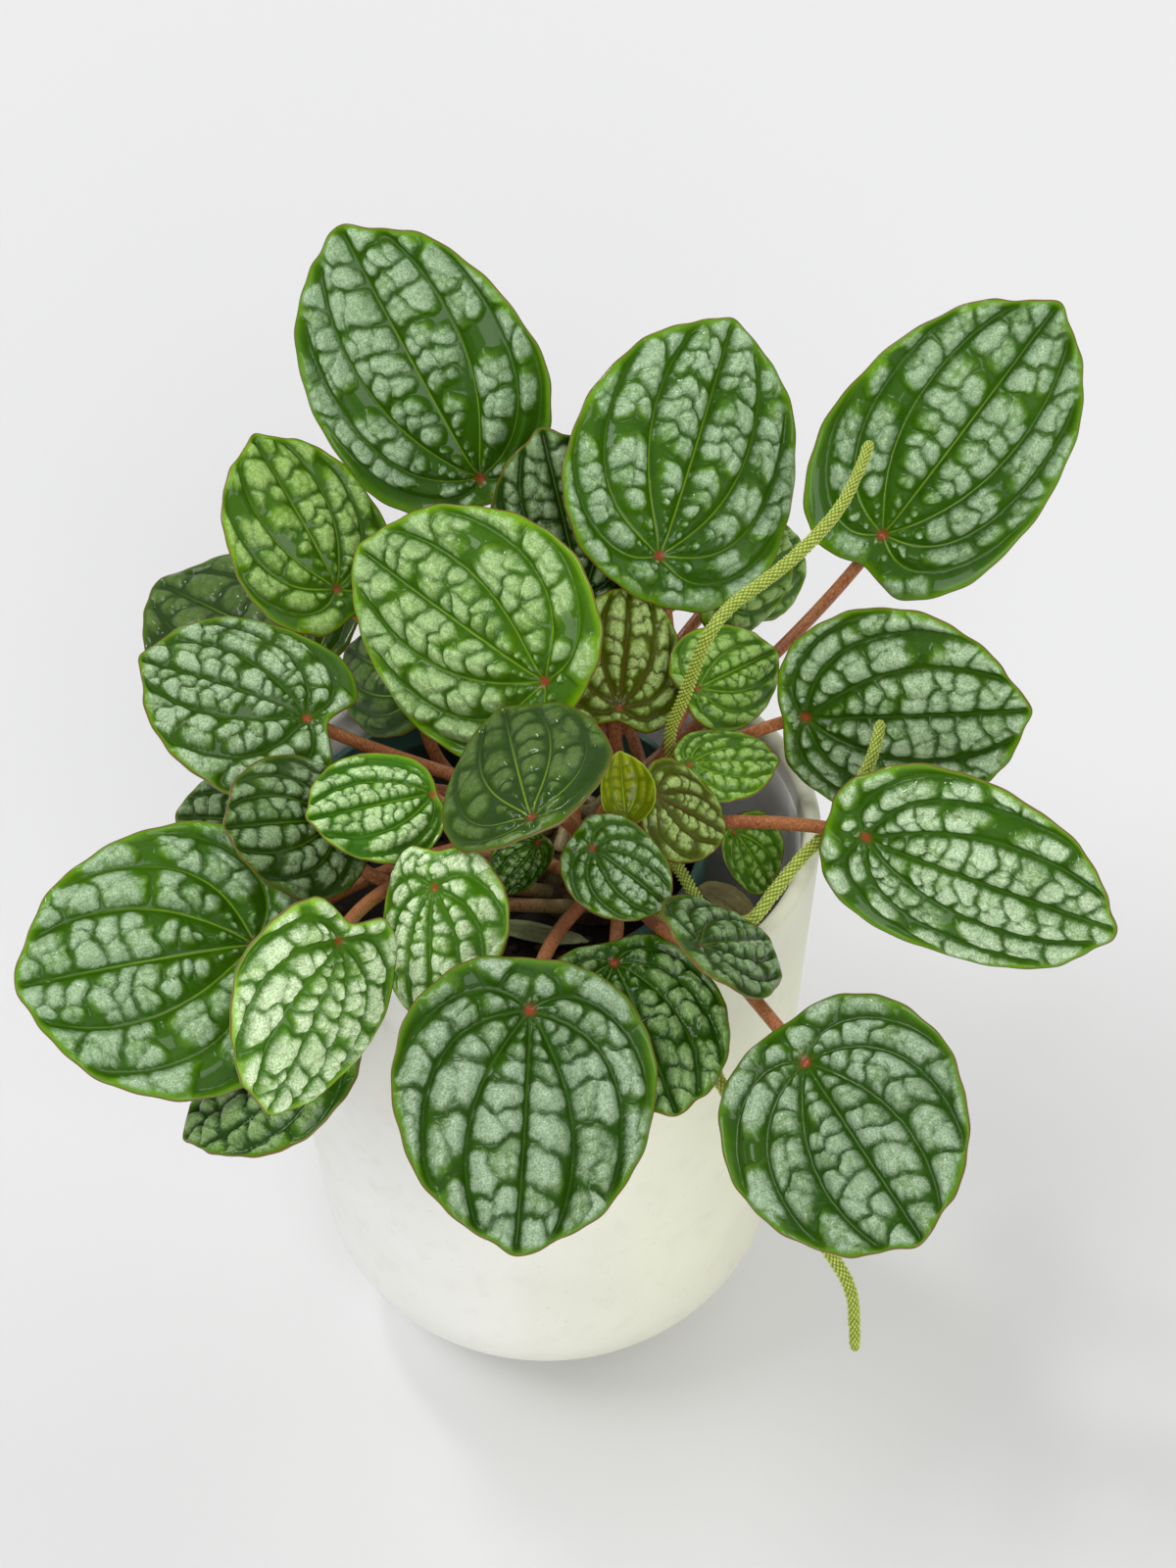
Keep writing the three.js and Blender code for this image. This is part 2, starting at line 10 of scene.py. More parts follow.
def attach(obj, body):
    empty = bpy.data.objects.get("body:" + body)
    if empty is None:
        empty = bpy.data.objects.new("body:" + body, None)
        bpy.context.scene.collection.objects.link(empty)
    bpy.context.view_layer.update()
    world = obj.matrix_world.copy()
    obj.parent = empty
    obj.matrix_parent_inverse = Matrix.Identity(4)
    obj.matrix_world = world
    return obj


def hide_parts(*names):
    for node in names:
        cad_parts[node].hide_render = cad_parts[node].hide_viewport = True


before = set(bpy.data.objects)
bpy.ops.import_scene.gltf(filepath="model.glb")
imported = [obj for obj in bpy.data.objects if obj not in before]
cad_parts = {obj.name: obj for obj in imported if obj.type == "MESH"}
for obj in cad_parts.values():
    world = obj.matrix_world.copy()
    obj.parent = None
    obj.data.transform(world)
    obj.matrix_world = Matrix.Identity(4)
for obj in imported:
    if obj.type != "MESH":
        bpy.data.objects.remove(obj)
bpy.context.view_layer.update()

# Lengths are millimetres and become metres when a mesh is made. +Z is up, and the origin is the middle
# of the cachepot's flat foot.
METRES = 0.001
rng = np.random.default_rng(41)

# Cachepot
POT_RIM_RADIUS = 65
POT_HEIGHT = 146
POT_BASE_RADIUS = 53.5
POT_FOOT_BEND = 37.5
POT_WALL = 4.2
POT_FLOOR = 6
LEDGE_DEPTH = 5
LEDGE_STEP = 0.7

# Nursery pot
NURSERY_CENTRE = (-8.8, 4.6)
NURSERY_RIM_RADIUS = 48.5
NURSERY_BASE_RADIUS = 36
NURSERY_BASE_Z = 20.7
NURSERY_TOP_Z = 139
NURSERY_WALL = 1.3
NURSERY_BAND = 8
NURSERY_BAND_STEP = 1.2
NURSERY_LIP = 0.8
NURSERY_INNER_LIP = 0.6
DRAIN_HOLES = 6
DRAIN_RADIUS = 3.5
DRAIN_RING = 20

# Soil and crown
SOIL_TOP_Z = 126
SOIL_EDGE_DROP = 2
SOIL_RISE = 1.5  # from the edge to the middle
SOIL_BUMPS = 500
SOIL_GRAINS = 420
CROWN_CENTRE = (14, 2)
CROWN_RADIUS = 17.5
CROWN_HEIGHT = 14
CROWN_INSET = 0.6  # leaves room for the knobs
CROWN_PITS = 160
SEAT_GAP = 0.3
CROWN_RINGS = [(3.2, 3, 0), (8.2, 8, 0.3), (12.6, 12, 0.1), (16.2, 15, 0.25)]  # radius, stalks, turn

# Leaves and spikes
STALK_RADIUS = 1.35
STALK_SIDES = 14
STALK_STEP = 1.6
STALK_SEAT = 0.35  # from the blade's upper face down to the stalk's end
SPIKE_RADIUS = 1.5
SPIKE_SIDES = 32
SPIKE_STEP = 0.3
SPIKE_CORE = 0.79  # radius between the knobs, as a share of the spike's
KNOBS_ROUND = 8
KNOB_PAIR = 1.4  # length of two staggered rings of knobs
KNOB_HEIGHT = 0.5
ROOT_DEPTH = 2.5
GRID_STEP = 0.46  # between neighbouring points of a blade
LOOSE_GRID_STEP = 0.25
LEAST_GRID = 40  # steps across the smallest blades
BLADE_RAISE = 0.3
EDGE_THICKNESS = 0.35
EXTRA_THICKNESS = 0.45  # gained THICKENING inwards from the edge
THICKENING = 2.5
FIRST_ROW = 0.07  # share of the way out where the lobes start
JOINED = 0.14  # how far lobes of one row run together

# Blade outline, as in the part
TIP_SHARE = 0.05
TIP_SPREAD = 0.22
SHOULDER_SPREAD = 0.5
OVAL = 0.13
NOTCH_SPREAD = 0.3
LOBE_DROP = 1.5

# Studio: each sun's direction, apparent size in degrees and strength, and the photograph's camera
SUNS = {
    "key": ((-0.6, -0.1, 0.85), 26, 1.0),
    "gleam": ((-0.35, 0.4, 0.85), 7, 0.4),
    "back": ((0.6, 0.4, 0.85), 60, 0.55),
    "front": ((0.15, -0.9, 0.5), 40, 1.25),
}
WORLD_SIDES = 0.49
WORLD_OVERHEAD = 0.35
FLOOR_HALF = 6000
FLOOR_DROP = 0.3
CAMERA_PLACE = (12.2, -529.44, 593.73)
CAMERA_TILT = 50.4  # degrees up from looking straight down
CAMERA_ROLL = -0.025
CAMERA_LENS = 70
CAMERA_SENSOR = 36

# A blade's main veins on each side of the midrib: direction at the stalk in degrees from the midrib,
# outline angle where the vein ends, and how late it turns towards the tip.
SIDE_VEINS = [(34, 0.28, 2.2), (72, 0.75, 2.8), (122, 1.5, 3)]
LAST_FIELD = len(SIDE_VEINS)

# at: where the stalk meets the blade. turn: heading, pitch and roll in degrees. size: length, width, lobe
# and notch. root: ring and place on the crown. bend: where the stalk bends. bow: curl and droop. The loose
# leaves have no stalk.
Leaf = namedtuple("Leaf", "name look at turn size root bend bow", defaults=(None, None, (-3, -4)))
LEAVES = [
    ("back_left", "striped", (-13, 80, 184), (142, 54, 68), (67, 62, 7, 0.1),
     (2, 1), (34, 41, 129), (-2, -3)),
    ("upper_left", "fresh", (-45, 54, 173), (130, 49, -4), (40, 43, 11, 0.3), (3, 3), (-20, 56, 128)),
    ("outer_left_back", "plain", (-53, 53, 153), (138, 0, 16), (55, 49, 6, 0.3), (3, 4), (-24, 41, 145)),
    ("left", "quilted", (-49, 1, 177), (171, 25, 15), (38, 47, 12, 0.6), (1, 2), (-33, 12, 154), (-6, -6)),
    ("inner_left_back", "plain", (-26, 28, 162), (135, -2, 38), (28, 29, 6, 0.3), (3, 5), (-29, 28, 130)),
    ("centre_left", "sunlit", (2, 5, 181), (142, 14, 60), (55, 56, 12, 0.2), (1, 5), (8, 8, 159), (-6, -4)),
    ("back_middle", "shaded", (12, 47, 173), (122, 68, 25), (40, 36, 8, 0.3), (1, 4), (16, 24, 157)),
    ("back_centre", "striped", (31, 44, 187), (64, 40, -41), (58, 58, 12, 0.05),
     (3, 1), (36, 31, 144), (-5, -4)),
    ("back_right", "striped", (82, 50, 186), (22, 50, -59), (65, 54, 14, 0.4),
     (2, 3), (60, 53, 148), (-5, -4)),
    ("behind_right_a", "fresh", (44, 49, 174), (37, -3, -65), (26, 28, 8, 0.3), (1, 1), (8, 36, 172)),
    ("behind_right_b", "fresh", (49, 65, 165), (45, -1, -44), (26, 27, 6, 0.3), (2, 4), (31, 50, 156)),
    ("right", "quilted", (61, 8, 166), (343, 12, -74), (50, 49, 8, 0.4), (2, 2), (41, 18, 154), (-5, -4)),
    ("front_right", "silvered", (70, -41, 172), (334, -8, -73), (55, 42, 11, 0.2),
     (0, 0), (52, -11, 156), (-5, -4)),
    ("low_right", "netted", (54, -89, 156), (294, -7, -30), (47, 51, 11, 0.1), (3, 12), (24, -16, 148)),
    ("front", "netted", (0, -87, 170), (266, -33, 16), (48, 54, 12, 0.15), (2, 10), (2, -44, 157), (-4, -5)),
    ("front_inner", "glossy", (17, -60, 158), (289, -11, 4), (38, 39, 7, 0.3), (1, 6), (20, -24, 154)),
    ("front_small_right", "shaded", (35, -67, 168), (48, -30, -21), (27, 29, 7, 0.1),
     (1, 7), (16, -33, 147), (-2, -2)),
    ("centre_front", "quilted", (13, -43, 174), (335, -29, -23), (20, 22, 6, 0.15),
     (2, 7), (7, -30, 154), (-3, -2)),
    ("centre_dark", "plain", (0, -53, 192), (100, -1, 25), (39, 39, 6, 0.1), (2, 9), (9, -23, 171), (-4, -3)),
    ("young_pointed", "fresh", (35, -1, 162), (6, 0, -12), (20, 21, 4, 0.3), (0, 1), (24, 4, 158), (-2, -2)),
    ("young_round", "ruddy", (27, -23, 171), (15, -40, -37), (22, 23, 4, 0.3),
     (2, 8), (14, -31, 154), (-3, -2)),
    ("behind_centre", "ruddy", (20, 16, 165), (80, 39, -18), (29, 30, 7, 0.5),
     (3, 2), (16, 22, 156), (-4, -4)),
    ("right_inner", "fresh", (38, 20, 167), (37, -1, -41), (24, 25, 6, 0.3), (2, 0), (27, 14, 152), (-3, -2)),
    ("gap_right", "fresh", (45, -10, 149), (340, -54, -19), (17, 18, 3, 0.3),
     (3, 14), (38, -2, 145), (2, -2)),
    ("under_centre", "glossy", (1, -19, 155), (225, -29, 59), (14, 14, 3, 0.3),
     (3, 8), (-4, -9, 140), (-3, -2)),
    ("front_left_quilted", "bright", (-21, -52, 172), (263, -41, -21), (28, 30, 11, 0.3),
     (3, 9), (-23, -32, 157), (-7, -4)),
    ("mid_left_small", "young", (-21, -21, 172), (210, 13, 27), (30, 27, 2, 0.5),
     (2, 5), (-11, -20, 158), (-3, -2)),
    ("left_dark", "shaded", (-42, -27, 170), (216, 27, 40), (27, 33, 10, 0.3),
     (3, 11), (-43, -33, 148), (-5, -4)),
    ("left_hidden", "shaded", (-55, -13, 158), (160, -9, 33), (29, 31, 6, 0.3), (1, 3), (-37, 22, 149)),
    ("low_left", "striped", (-59, -51, 157), (194, 3, 32), (50, 61, 14, 0.2),
     (3, 6), (-31, -8, 147), (-6, -6)),
    ("front_left", "bright", (-38, -71, 174), (242, -43, 68), (37, 42, 10, 0.55),
     (3, 7), (-33, -19, 152), (-4, -5)),
    ("lowest_left", "glossy", (-45, -65, 141), (197, -21, -6), (36, 38, 8, 0.3),
     (2, 6), (-30, -42, 163), (-5, -5)),
    ("young_folded", "tender", (20, -30, 171), (95, 48, -8), (14, 12, 2, 0.1), (0, 2), (21, 1, 162), (5, 0)),
]
LOOSE_LEAVES = [
    Leaf("fallen_leaf", "dried", (37, -18, 139), (317, 2, 10), (17, 8, 2, 0), bow=(2, -2)),
    Leaf("wilted_leaf", "wilted", (-9, -16, 128.3), (342, 0, 0), (21, 6, 1.5, 0), bow=(-0.4, 0)),
]

# Each loose leaf's light, dark and patch colour
LOOSE_COLOURS = {
    "dried": ((0.3, 0.28, 0.12), (0.15, 0.13, 0.045), (0.2, 0.14, 0.06)),
    "wilted": ((0.42, 0.46, 0.25), (0.26, 0.3, 0.12), (0.32, 0.26, 0.13)),
}

# Flower spikes: root on the crown, then the points of the route.
SPIKES = {
    "right": (
        (3, 0),
        [(33, 6, 141), (32, 8, 152), (31, 8, 163), (34, 6, 175), (40, 3, 196), (45, 7, 200), (52, 11, 203),
         (60, 16, 207), (69, 25, 212), (74, 34, 216), (77, 41, 219)],
    ),
    "middle": (
        (2, 11),
        [(31, -18, 147), (38, -36, 148), (46, -41, 150), (52, -36, 154), (58, -30, 158), (67, -22, 162),
         (72, -15, 167), (75, -11, 172), (77, -5, 176)],
    ),
    "low": (
        (3, 13),
        [(26, -32, 153), (28, -48, 151), (32, -63, 145), (38, -73, 135), (44, -79, 126), (52, -86, 113),
         (61, -91, 100), (66, -94, 90), (67, -100, 77)],
    ),
}

# How each kind of leaf looks. cell: a quilt lobe's size as a share of the blade's. pillow and puff: height
# of the lobes and of the fields between veins, as shares of the blade's size. gap: green beside the veins
# and between rows, in lobes. silver: how strongly the lobes are silvered. Then the colours, which are linear:
# deep and fresh green, pale lobes, veins, rim, and the dot over the stalk.
RED = (0.4, 0.045, 0.02)
RUST = (0.2, 0.07, 0.02)
OLIVE = (0.12, 0.24, 0.01)
MOSS = (0.055, 0.15, 0.005)
LIME = (0.24, 0.42, 0.01)
DARK_RED = (0.12, 0.03, 0.01)
Finish = namedtuple(
    "Finish",
    "cell pillow puff gap silver deep fresh pale vein rim dot rough slot",
    defaults=(RUST, RED, 0.36, "green_leaf"),
)
FINISHES = {
    "striped": Finish(0.086, 0.032, 0.042, 0.5, 0.85,
        (0.034, 0.115, 0.001), (0.12, 0.29, 0.002), (0.38, 0.53, 0.33), LIME),
    "quilted": Finish(0.096, 0.034, 0.046, 0.26, 0.88,
        (0.03, 0.095, 0.001), (0.115, 0.27, 0.002), (0.4, 0.54, 0.33), MOSS, rough=0.34),
    "netted": Finish(0.12, 0.038, 0.046, 0.1, 0.95,
        (0.022, 0.08, 0.001), (0.09, 0.22, 0.004), (0.33, 0.45, 0.29), MOSS),
    "silvered": Finish(0.1, 0.038, 0.046, 0.16, 0.92,
        (0.034, 0.115, 0.001), (0.13, 0.3, 0.005), (0.5, 0.65, 0.41), MOSS),
    "sunlit": Finish(0.095, 0.034, 0.042, 0.3, 0.75,
        (0.045, 0.14, 0.001), (0.17, 0.37, 0.002), (0.45, 0.63, 0.3), LIME, rough=0.34),
    "fresh": Finish(0.11, 0.032, 0.04, 0.32, 0.6,
        (0.045, 0.135, 0.001), (0.17, 0.36, 0.002), (0.4, 0.58, 0.2), LIME),
    "shaded": Finish(0.11, 0.034, 0.042, 0.24, 0.7,
        (0.018, 0.055, 0.001), (0.065, 0.155, 0.002), (0.29, 0.41, 0.22), OLIVE, slot="dark_leaf"),
    "plain": Finish(0.12, 0.014, 0.022, 0.4, 0.35,
        (0.018, 0.055, 0.001), (0.06, 0.135, 0.002), (0.19, 0.28, 0.1), LIME, rough=0.34, slot="dark_leaf"),
    "glossy": Finish(0.11, 0.038, 0.044, 0.28, 0.6,
        (0.016, 0.065, 0.001), (0.075, 0.195, 0.002), (0.32, 0.47, 0.2), OLIVE, rough=0.22, slot="dark_leaf"),
    "ruddy": Finish(0.12, 0.036, 0.046, 0.22, 0.7,
        (0.065, 0.085, 0.001), (0.16, 0.27, 0.002), (0.47, 0.62, 0.22), DARK_RED,
        rim=(0.2, 0.06, 0.02), rough=0.34),
    "bright": Finish(0.12, 0.044, 0.052, 0.1, 0.95,
        (0.06, 0.19, 0.003), (0.26, 0.52, 0.03), (0.7, 0.86, 0.54), (0.09, 0.18, 0.01),
        rough=0.34, slot="bright_leaf"),
    "young": Finish(0.11, 0.042, 0.044, 0.18, 0.88,
        (0.04, 0.16, 0.001), (0.19, 0.44, 0.006), (0.58, 0.78, 0.4), LIME, rough=0.32),
    "tender": Finish(0.16, 0.02, 0.04, 0.3, 0.1,
        (0.13, 0.17, 0.002), (0.28, 0.34, 0.005), (0.36, 0.45, 0.05), LIME,
        rim=LIME, dot=LIME, rough=0.32, slot="bright_leaf"),
}


def smooth(low, high, value):
    """0 below low, 1 above high, and an even curve between them."""
    share = np.clip((value - low) / (high - low), 0, 1)
    return share * share * (3 - 2 * share)


def add_object(name, data):
    made = bpy.data.objects.new(name, data)
    bpy.context.scene.collection.objects.link(made)
    return made


def add_mesh(name, points, faces):
    mesh = bpy.data.meshes.new(name)
    mesh.from_pydata((np.asarray(points) * METRES).tolist(), [], faces)
    return add_object(name, mesh)


def add_piece(name, points, faces, material, slot, node, **attributes):
    """A smooth-shaded mesh that rides on the object, with one number for each point in each attribute."""
    piece = add_mesh(name, points, faces)
    mesh = piece.data
    mesh.polygons.foreach_set("use_smooth", np.ones(len(mesh.polygons), bool))
    for key, values in attributes.items():
        made = mesh.attributes.new(key, "FLOAT", "POINT")
        made.data.foreach_set("value", np.asarray(values, np.float32))
    mesh.materials.append(material)
    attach(piece, "root")
    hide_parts(node)
    return piece


class Nodes:
    """A node tree, filled one node at a time. A value is a number, a colour or another node's output."""

    def __init__(self, owner):
        owner.use_nodes = True
        self.tree = owner.node_tree

    def feed(self, socket, value):
        if isinstance(value, bpy.types.NodeSocket):
            self.tree.links.new(value, socket)
        elif isinstance(value, tuple) and socket.type == "RGBA":
            socket.default_value = (*value, 1)
        else:
            socket.default_value = value

    def node(self, kind, inputs=None, **settings):
        made = self.tree.nodes.new("ShaderNode" + kind)
        for key, value in settings.items():
            setattr(made, key, value)
        for key, value in (inputs or {}).items():
            self.feed(made.inputs[key], value)
        return made

    def spread(self, value, low, high, bottom=0, top=1):
        """The value's stretch from low to high, laid over bottom to top."""
        inputs = {"Value": value, "From Min": low, "From Max": high, "To Min": bottom, "To Max": top}
        return self.node("MapRange", inputs, interpolation_type="SMOOTHSTEP").outputs[0]


class Paint(Nodes):
    """A material, made from a pattern of nodes."""

    def __init__(self, name):
        self.material = bpy.data.materials.new(name)
        super().__init__(self.material)
        self.shader = self.tree.nodes["Principled BSDF"]
        self.place = self.node("TexCoord").outputs["Object"]

    def noise(self, size, detail, stretch=None):
        """Noise whose blobs are about size millimetres across."""
        place = self.place
        if stretch:
            place = self.node("Mapping", {"Vector": place, "Scale": Vector(stretch)}).outputs[0]
        inputs = {"Vector": place, "Scale": 1 / (size * METRES), "Detail": detail}
        return self.node("TexNoise", inputs).outputs["Fac"]

    def cells(self, size):
        """Distance to the nearest point of a scatter that is about size millimetres apart."""
        inputs = {"Vector": self.place, "Scale": 1 / (size * METRES)}
        return self.node("TexVoronoi", inputs).outputs["Distance"]

    def read(self, attribute):
        return self.node("Attribute", attribute_name=attribute).outputs["Fac"]

    def sum(self, first, *others):
        """first + share * value for each (value, share) of the others."""
        for value, share in others:
            inputs = {0: value, 1: share, 2: first}
            first = self.node("Math", inputs, operation="MULTIPLY_ADD").outputs[0]
        return first

    def times(self, first, second):
        return self.node("Math", {0: first, 1: second}, operation="MULTIPLY").outputs[0]

    def mix(self, share, first, second):
        inputs = {0: share, 6: first, 7: second}
        return self.node("Mix", inputs, data_type="RGBA").outputs[2]

    def over(self, colour, other, value, low, high, most=1):
        """The colour, with the other laid over it where the value nears high, at most that strongly."""
        return self.mix(self.spread(value, low, high, 0, most), colour, other)

    def bump(self, height, distance, strength):
        """Fine relief of a height from 0 to 1, distance millimetres deep."""
        inputs = {"Height": height, "Distance": distance * METRES, "Strength": strength}
        made = self.node("Bump", inputs)
        self.feed(self.shader.inputs["Normal"], made.outputs[0])

    def finish(self, colour, roughness, specular, **settings):
        settings = {"Base_Color": colour, "Roughness": roughness, "Specular_IOR_Level": specular, **settings}
        for key, value in settings.items():
            self.feed(self.shader.inputs[key.replace("_", " ")], value)
        return self.material


def scaled(colour, factor):
    return tuple(part * factor for part in colour)


def leaf_paint(kind):
    finish = FINISHES[kind]
    paint = Paint("leaf_" + kind)
    grain = paint.noise(0.42, 2)
    blotch = paint.noise(2.2, 3)
    broad = paint.noise(16, 2)
    # Green is fresher on the raised lobes and near the rim, and deeper low down in the creases and beside the
    # veins; that deep green is partly the leaf's own colour and partly painted shade.
    high = paint.sum(0, (paint.read("lift"), 0.5), (paint.read("edge"), 0.55), (broad, 0.5), (blotch, 0.2))
    green = paint.over(finish.deep, finish.fresh, high, 0.3, 1)
    patch = paint.sum(paint.read("silver"), (blotch, 0.35), (grain, 0.25))
    patch = paint.times(paint.spread(patch, 0.36, 1.05), paint.spread(broad, 0.25, 0.5, 0.7, 1.0))
    pale = paint.over(scaled(finish.pale, 0.74), scaled(finish.pale, 1.36), grain, 0.3, 0.7)
    colour = paint.mix(paint.times(patch, finish.silver), green, pale)
    distance = paint.node("Math", {0: paint.read("lane"), 1: 0.5}, operation="PINGPONG").outputs[0]
    distance = paint.times(distance, paint.read("wide"))
    line = paint.times(paint.spread(distance, 0.36, 0.1), paint.read("line"))
    colour = paint.mix(paint.times(line, 0.6), colour, finish.vein)
    rim = paint.spread(paint.sum(paint.read("rim"), (blotch, 0.5)), 0.55, 1.15, 0, 0.85)
    colour = paint.mix(rim, colour, finish.rim)
    colour = paint.mix(paint.read("dot"), colour, finish.dot)
    cloud = paint.spread(paint.sum(broad, (blotch, 0.3)), 0.4, 0.9)
    below = paint.mix(cloud, (0.12, 0.22, 0.06), (0.2, 0.32, 0.12))
    below = paint.mix(paint.times(paint.read("line"), 0.5), below, (0.26, 0.14, 0.07))
    colour = paint.mix(paint.read("under"), colour, below)
    paint.bump(paint.sum(0, (paint.cells(0.9), 0.5), (grain, 0.5)), 0.16, 0.6)
    rough = paint.spread(paint.sum(patch, (grain, 0.3)), 0.1, 1.1, finish.rough, finish.rough + 0.14)
    return paint.finish(colour, rough, 0.1, Coat_Weight=0.36, Coat_Roughness=0.07)


def leaf_axes(turn):
    heading, pitch, roll = map(radians, turn)
    reach = cos(pitch)
    along = np.array([cos(heading) * reach, sin(heading) * reach, sin(pitch)])
    level = np.array([sin(heading), -cos(heading), 0])
    upright = np.cross(level, along)
    across = level * cos(roll) + upright * sin(roll)
    out = upright * cos(roll) - level * sin(roll)
    return across, along, out


def blade_edge(size, angle):
    """The blade's edge: angle 0 is the tip, and half a turn either way the notch behind the stalk."""
    length, width, lobe, notch = size
    peak = np.exp(-((angle / TIP_SPREAD) ** 2))
    shoulder = np.exp(-((angle / SHOULDER_SPREAD) ** 2))
    from_notch = (np.abs(angle) - pi) / NOTCH_SPREAD
    y = (length - lobe) / 2 + (length + lobe) / 2 * np.cos(angle)
    y = y + TIP_SHARE * length * (peak - shoulder / 2) + lobe * notch * np.exp(-(from_notch**2))
    x = width / 2 * np.sin(angle) * (1 - OVAL * np.cos(angle))
    return np.stack([x, y], -1)


def blade_bow(leaf, x, y):
    length, width, lobe, _ = leaf.size
    curl, droop = leaf.bow
    sag = np.where(y > 0, droop * (y / length) ** 2, -LOBE_DROP * (y / lobe) ** 2)
    return curl * (2 * x / width) ** 2 + sag


def disc_grid(count):
    """An even grid over a disc: each point's share of the radius and its angle, the quads, and the rim."""
    a, b = np.meshgrid(np.linspace(-1, 1, count + 1), np.linspace(-1, 1, count + 1))
    wide = np.abs(a) > np.abs(b)
    radius = np.where(wide, a, b)
    divisor = np.where(radius == 0, 1, radius)
    turn = np.where(wide, pi / 4 * b / divisor, pi / 2 - pi / 4 * a / divisor)
    x, y = radius * np.cos(turn), radius * np.sin(turn)
    number = np.arange((count + 1) ** 2).reshape(count + 1, count + 1)
    corners = [number[:-1, :-1], number[:-1, 1:], number[1:, 1:], number[1:, :-1]]
    quads = np.stack([corner.ravel() for corner in corners], -1)
    rim = np.concatenate([number[0, :-1], number[:-1, -1], number[-1, :0:-1], number[:0:-1, 0]])
    return np.hypot(x, y).ravel(), np.arctan2(x, y).ravel(), quads, rim


def distance_to_line(points, line):
    """From each point to a polyline."""
    nearest = np.full(len(points), np.inf)
    for start, end in zip(line[:-1], line[1:]):
        step = end - start
        share = np.clip((points - start) @ step / max(step @ step, 1e-9), 0, 1)
        nearest = np.minimum(nearest, norm(points - start - share[:, None] * step, axis=1))
    return nearest


def worley(points, size):
    """Distances to the nearest two of a jittered grid of seeds, in spacings."""
    low = points.min(0) - size
    place = (points - low) / size
    counts = np.ceil(place.max(0)).astype(int) + 3
    seeds = (np.stack(np.indices(counts), -1) + rng.uniform(0.12, 0.88, (*counts, 2))).reshape(-1, 2)
    own = np.floor(place).astype(int)
    numbers = np.array([(own + np.array(step) - 1) @ [counts[1], 1] for step in np.ndindex(3, 3)])
    gaps = norm(place - seeds[numbers], axis=2)
    return np.sort(gaps, axis=0)[:2]


